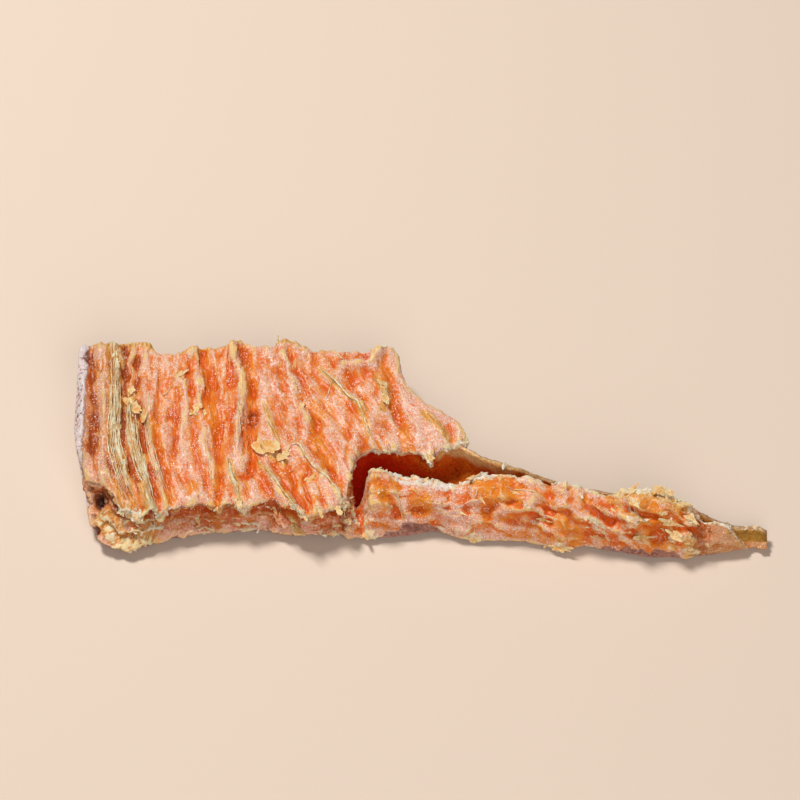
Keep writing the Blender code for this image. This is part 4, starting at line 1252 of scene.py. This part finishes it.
flake_material = cream_finish("torn_flake", rgb(0.92, 0.5, 0.2), rgb(0.94, 0.86, 0.64))
flake_shapes = [scrap(3 * kind) for kind in range(FLAKE_KINDS)]
flake_scatter = scatter_group("flake_scatter", flake_shapes, flake_material, "edge", 7)
flake_sizes = {"Density": 1500000.0, "Smallest": 0.5 * MM, "Largest": 1.8 * MM, "Tilt": 0.5, "Flatness": 0.7}
place_piece("torn_flakes", grown_mesh(slice_mesh, flake_scatter, flake_sizes))

# The large flakes
# Scraps of the top layers, of the same dried flesh and big enough to be told apart. They grew on the slice:
# some lie on the furrows, some hang over the lip, and the layers of the tail end in pointed ones.

LARGE_CORNERS = 28
FIRST_LARGE_SEED = 20
SMOOTH_FROM = 4.5
SMOOTH_RAGGED = 0.3
SMALL_RAGGED = 0.55
LARGE_BEND = 0.6
FLAKE_TAPER = 0.2
TIP_TAPER = 0.85
PLATE_WIDENED = 1.9
PLATE_THICKENED = 3
LIFT_KEPT = 0.2
LEAN_KEPT = 0.5
FLAKE_UPWARD = 0.4
SHARP_ANGLE = 35

# Place from above, lift, length, width, turn and lean in degrees, thickness
LARGE_FLAKES = [
    ((-60.4, 8.0), 0.9, 5.4, 3.6, -50, 20, 0.5), ((-58.4, 5.6), 0.9, 3.4, 3.0, 10, 25, 0.5),
    ((-61.0, 12.6), 0.6, 2.6, 1.6, -70, 10, 0.4), ((-31.8, -3.4), 0.8, 6.2, 4.6, -35, 10, 0.5),
    ((-29.4, -5.8), 0.8, 4.6, 2.4, -15, 14, 0.5), ((-27.6, -5.4), 0.7, 2.6, 2.2, 60, 20, 0.5),
    ((-46.4, 7.2), 0.5, 2.6, 1.8, 40, 20, 0.7), ((-47.4, 5.8), 0.4, 1.8, 1.4, -20, 30, 0.7),
    ((-45.2, 6.2), 0.5, 1.6, 1.2, 80, 30, 0.6), ((-7.6, 14.0), 0.5, 3.4, 2.0, -70, 18, 0.5),
    ((-6.6, 10.4), 0.5, 4.4, 2.2, -75, 14, 0.5), ((-24.4, 7.6), 0.5, 2.4, 1.4, 80, 20, 0.5),
    ((-22.4, -11.4), 0.5, 2.0, 1.6, 20, 20, 0.6), ((-25.0, -20.4), 0.3, 3.4, 1.8, -40, 10, 0.5),
    ((-16.4, -18.8), 0.4, 3.2, 1.8, -60, 10, 0.5), ((-37.2, -17.2), 0.4, 3.0, 1.4, -70, 10, 0.5),
    ((-8.8, 24.2), 0.2, 3.0, 1.6, 20, 10, 0.5), ((-30.0, 26.4), 0.2, 3.4, 2.2, 30, 10, 0.5),
    ((-50.6, 16.0), 0.4, 3.6, 1.2, 50, 14, 0.5), ((3.0, -5.6), 0.0, 2.6, 1.6, -80, 20, 0.5),
    ((16.0, -8.2), 0.6, 3.4, 1.4, 60, 40, 0.5), ((45.0, -16.8), 0.2, 3.6, 2.2, 30, 10, 0.5),
    ((51.6, -17.0), 0.0, 4.4, 2.8, -8, 8, 0.8), ((55.4, -18.8), 0.0, 3.2, 2.4, -30, 10, 0.8),
    ((46.6, -23.0), 0.3, 3.6, 2.0, -35, 10, 0.5), ((54.2, -24.6), 0.2, 3.4, 1.8, -40, 10, 0.5),
    ((30.6, -23.6), 0.2, 4.4, 1.8, -10, 12, 0.6), ((-10.8, -20.0), 0.2, 4.0, 2.2, -45, 10, 0.6),
    ((1.6, -12.2), 0.0, 2.4, 1.8, 20, 10, 0.6), ((12.0, -12.2), 0.1, 2.8, 2.0, 30, 10, 0.6),
    ((12.2, -20.8), 0.2, 3.2, 1.8, -10, 10, 0.6), ((-22.4, -23.0), 0.0, 2.4, 1.2, -50, 10, 0.5),
]

# Pointed tips that the layers of the tail and the lip end in, with the same measures
TORN_TIPS = [
    ((45.4, -20.0), 0.2, 5.4, 2.2, -44, 12, 0.6), ((46.8, -22.1), 0.2, 2.8, 1.2, -43, 10, 0.5),
    ((47.6, -23.8), 0.2, 4.8, 1.7, 4, 8, 0.6), ((53.4, -22.6), 0.3, 5.4, 2.4, -29, 12, 0.7),
    ((57.8, -21.8), 0.2, 3.4, 2.8, -50, 10, 0.8), ((61.0, -24.0), 0.1, 2.6, 1.1, -70, 10, 0.5),
    ((51.9, -21.2), 0.2, 2.6, 1.0, 10, 10, 0.5), ((41.0, -19.4), 0.1, 4.0, 1.4, -30, 8, 0.5),
    ((37.6, -22.2), 0.1, 4.0, 1.2, -12, 6, 0.5), ((20.4, -15.4), 0.1, 3.4, 1.2, -20, 10, 0.5),
    ((13.6, -16.6), 0.1, 3.0, 1.2, -60, 12, 0.5), ((-0.6, -14.2), 0.1, 2.6, 1.0, -50, 10, 0.5),
    ((9.4, -18.0), 0.1, 3.0, 1.1, -30, 10, 0.5), ((27.0, -19.8), 0.1, 3.6, 1.1, -15, 8, 0.5),
    ((-46.0, -18.2), 0.1, 3.0, 1.4, -75, 6, 0.6), ((-41.8, -17.6), 0.1, 2.6, 1.2, -80, 6, 0.6),
    ((-29.8, -16.6), 0.1, 2.6, 1.2, -70, 6, 0.6), ((-20.2, -20.4), 0.1, 3.0, 1.4, -65, 6, 0.6),
]


def lying_at(place, lift, turn, lean):
    """Where a plate lies on the slice at a place from above: turned about its middle, its tip leant up."""
    spot, normal = slice_surface.ray_cast(over_slice(*place, DROP_HEIGHT), DOWN)[:2]
    if not spot:
        spot, normal = slice_surface.find_nearest(over_slice(*place, LIP_HEIGHT))[:2]
    up = (normal + Vector((0, 0, FLAKE_UPWARD))).normalized()
    ahead = Vector((math.cos(math.radians(turn)), math.sin(math.radians(turn)), 0))
    side = up.cross(ahead).normalized()
    axes = Matrix((side.cross(up), side, up)).transposed().to_4x4()
    leant = axes @ Matrix.Rotation(math.radians(-lean), 4, "Y")
    return Matrix.Translation((spot + up * LIFT_KEPT * lift) * MM) @ leant


def large_flakes():
    """The large flakes and the torn tips as one mesh."""
    shape = bmesh.new()
    plates = [(plate, FLAKE_TAPER) for plate in LARGE_FLAKES] + [(plate, TIP_TAPER) for plate in TORN_TIPS]
    for number, ((place, lift, length, width, turn, lean, thickness), taper) in enumerate(plates):
        ragged = SMOOTH_RAGGED if length > SMOOTH_FROM else SMALL_RAGGED
        plate = scrap(FIRST_LARGE_SEED + number, LARGE_CORNERS, ragged, LARGE_BEND, taper)
        sides = length * MM, PLATE_WIDENED * width * MM, PLATE_THICKENED * thickness * MM, 1
        plate.transform(lying_at(place, lift, turn, LEAN_KEPT * lean) @ Matrix.Diagonal(sides))
        shape.from_mesh(plate)
    mesh = bpy.data.meshes.new("large_flakes")
    shape.to_mesh(mesh)
    shape.free()
    mesh.materials.append(cream_finish("straw_flake", rgb(0.86, 0.36, 0.07), rgb(0.93, 0.68, 0.34)))
    mesh.shade_smooth()
    mesh.set_sharp_from_angle(angle=math.radians(SHARP_ANGLE))
    return mesh


place_piece("large_flakes", large_flakes())

# The sugar
# Grains of the flesh's own sugar, a tenth to a third of a millimetre across. They came out as it dried, sit
# fast on its frosted parts and glisten.

GRAIN_REACH = [(1, 0, 0), (0, 1.2, 0), (0, 0, 0.8), (-1.1, 0, 0), (0, -0.9, 0), (0, 0, -0.8)]
GRAIN_FACES = [(0, 1, 2), (1, 3, 2), (3, 4, 2), (4, 0, 2), (1, 0, 5), (3, 1, 5), (4, 3, 5), (0, 4, 5)]

grain_shape = bpy.data.meshes.new("grain")
grain_shape.from_pydata([Vector(reach) / 2 for reach in GRAIN_REACH], [], GRAIN_FACES)
sugar = Finish("dried_sugar")
sugar.set(Base_Color=rgb(0.98, 0.84, 0.74), Roughness=0.2)
sugar_scatter = scatter_group("sugar_scatter", [grain_shape], sugar.material, "sugar", 31)
sugar_sizes = {"Density": 5000000.0, "Smallest": 0.1 * MM, "Largest": 0.3 * MM, "Tilt": 1.0, "Flatness": 1.0}
place_piece("sugar_grains", grown_mesh(slice_mesh, sugar_scatter, sugar_sizes))

# The floor, the light and the camera
# A plain beige board under a soft light from the upper left, with a large dim one in front of it. The camera
# looks down at it through a long lens; places are in metres.

FLOOR_SIZE = 3.0
KEY_LIGHT = (-0.33, 0.33, 0.88), 0.22, 9.3
FRONT_LIGHT = (0.15, -0.85, 0.6), 0.8, 6.3
ROOM_COLOUR = (1.0, 0.97, 0.94, 1.0)
ROOM_LIGHT = 0.1
LOOK_DOWN = math.radians(50)
AIM = Vector((-0.004, 0.0179, 0))
CAMERA_DISTANCE = 0.8696
LENS = 180
SENSOR_WIDTH = 36
NEAREST_SEEN = 0.01

bpy.ops.mesh.primitive_plane_add(size=FLOOR_SIZE)
floor = bpy.context.active_object
floor.name = "floor"
board = Finish("pale_board")
board.set(Base_Color=rgb(0.69, 0.555, 0.445), Roughness=0.9)
floor.data.materials.append(board.material)


def soft_light(name, place, size, power):
    """A square lamp that shines on the middle of the floor."""
    lamp = bpy.data.lights.new(name, "AREA")
    lamp.size = size
    lamp.energy = power
    holder = bpy.data.objects.new(name, lamp)
    bpy.context.collection.objects.link(holder)
    holder.location = place
    holder.rotation_euler = (-Vector(place)).to_track_quat("-Z", "Y").to_euler()


soft_light("key_light", *KEY_LIGHT)
soft_light("front_light", *FRONT_LIGHT)
world = bpy.data.worlds.new("room")
world.use_nodes = True
background = world.node_tree.nodes["Background"]
background.inputs["Color"].default_value = ROOM_COLOUR
background.inputs["Strength"].default_value = ROOM_LIGHT
bpy.context.scene.world = world

camera_data = bpy.data.cameras.new("camera")
camera_data.lens = LENS
camera_data.sensor_width = SENSOR_WIDTH
camera_data.clip_start = NEAREST_SEEN
camera = bpy.data.objects.new("camera", camera_data)
bpy.context.collection.objects.link(camera)
camera.location = AIM - Vector((0, math.cos(LOOK_DOWN), -math.sin(LOOK_DOWN))) * CAMERA_DISTANCE
camera.rotation_euler = (math.radians(90) - LOOK_DOWN, 0, 0)
bpy.context.scene.camera = camera
bpy.context.scene.view_settings.view_transform = "Standard"
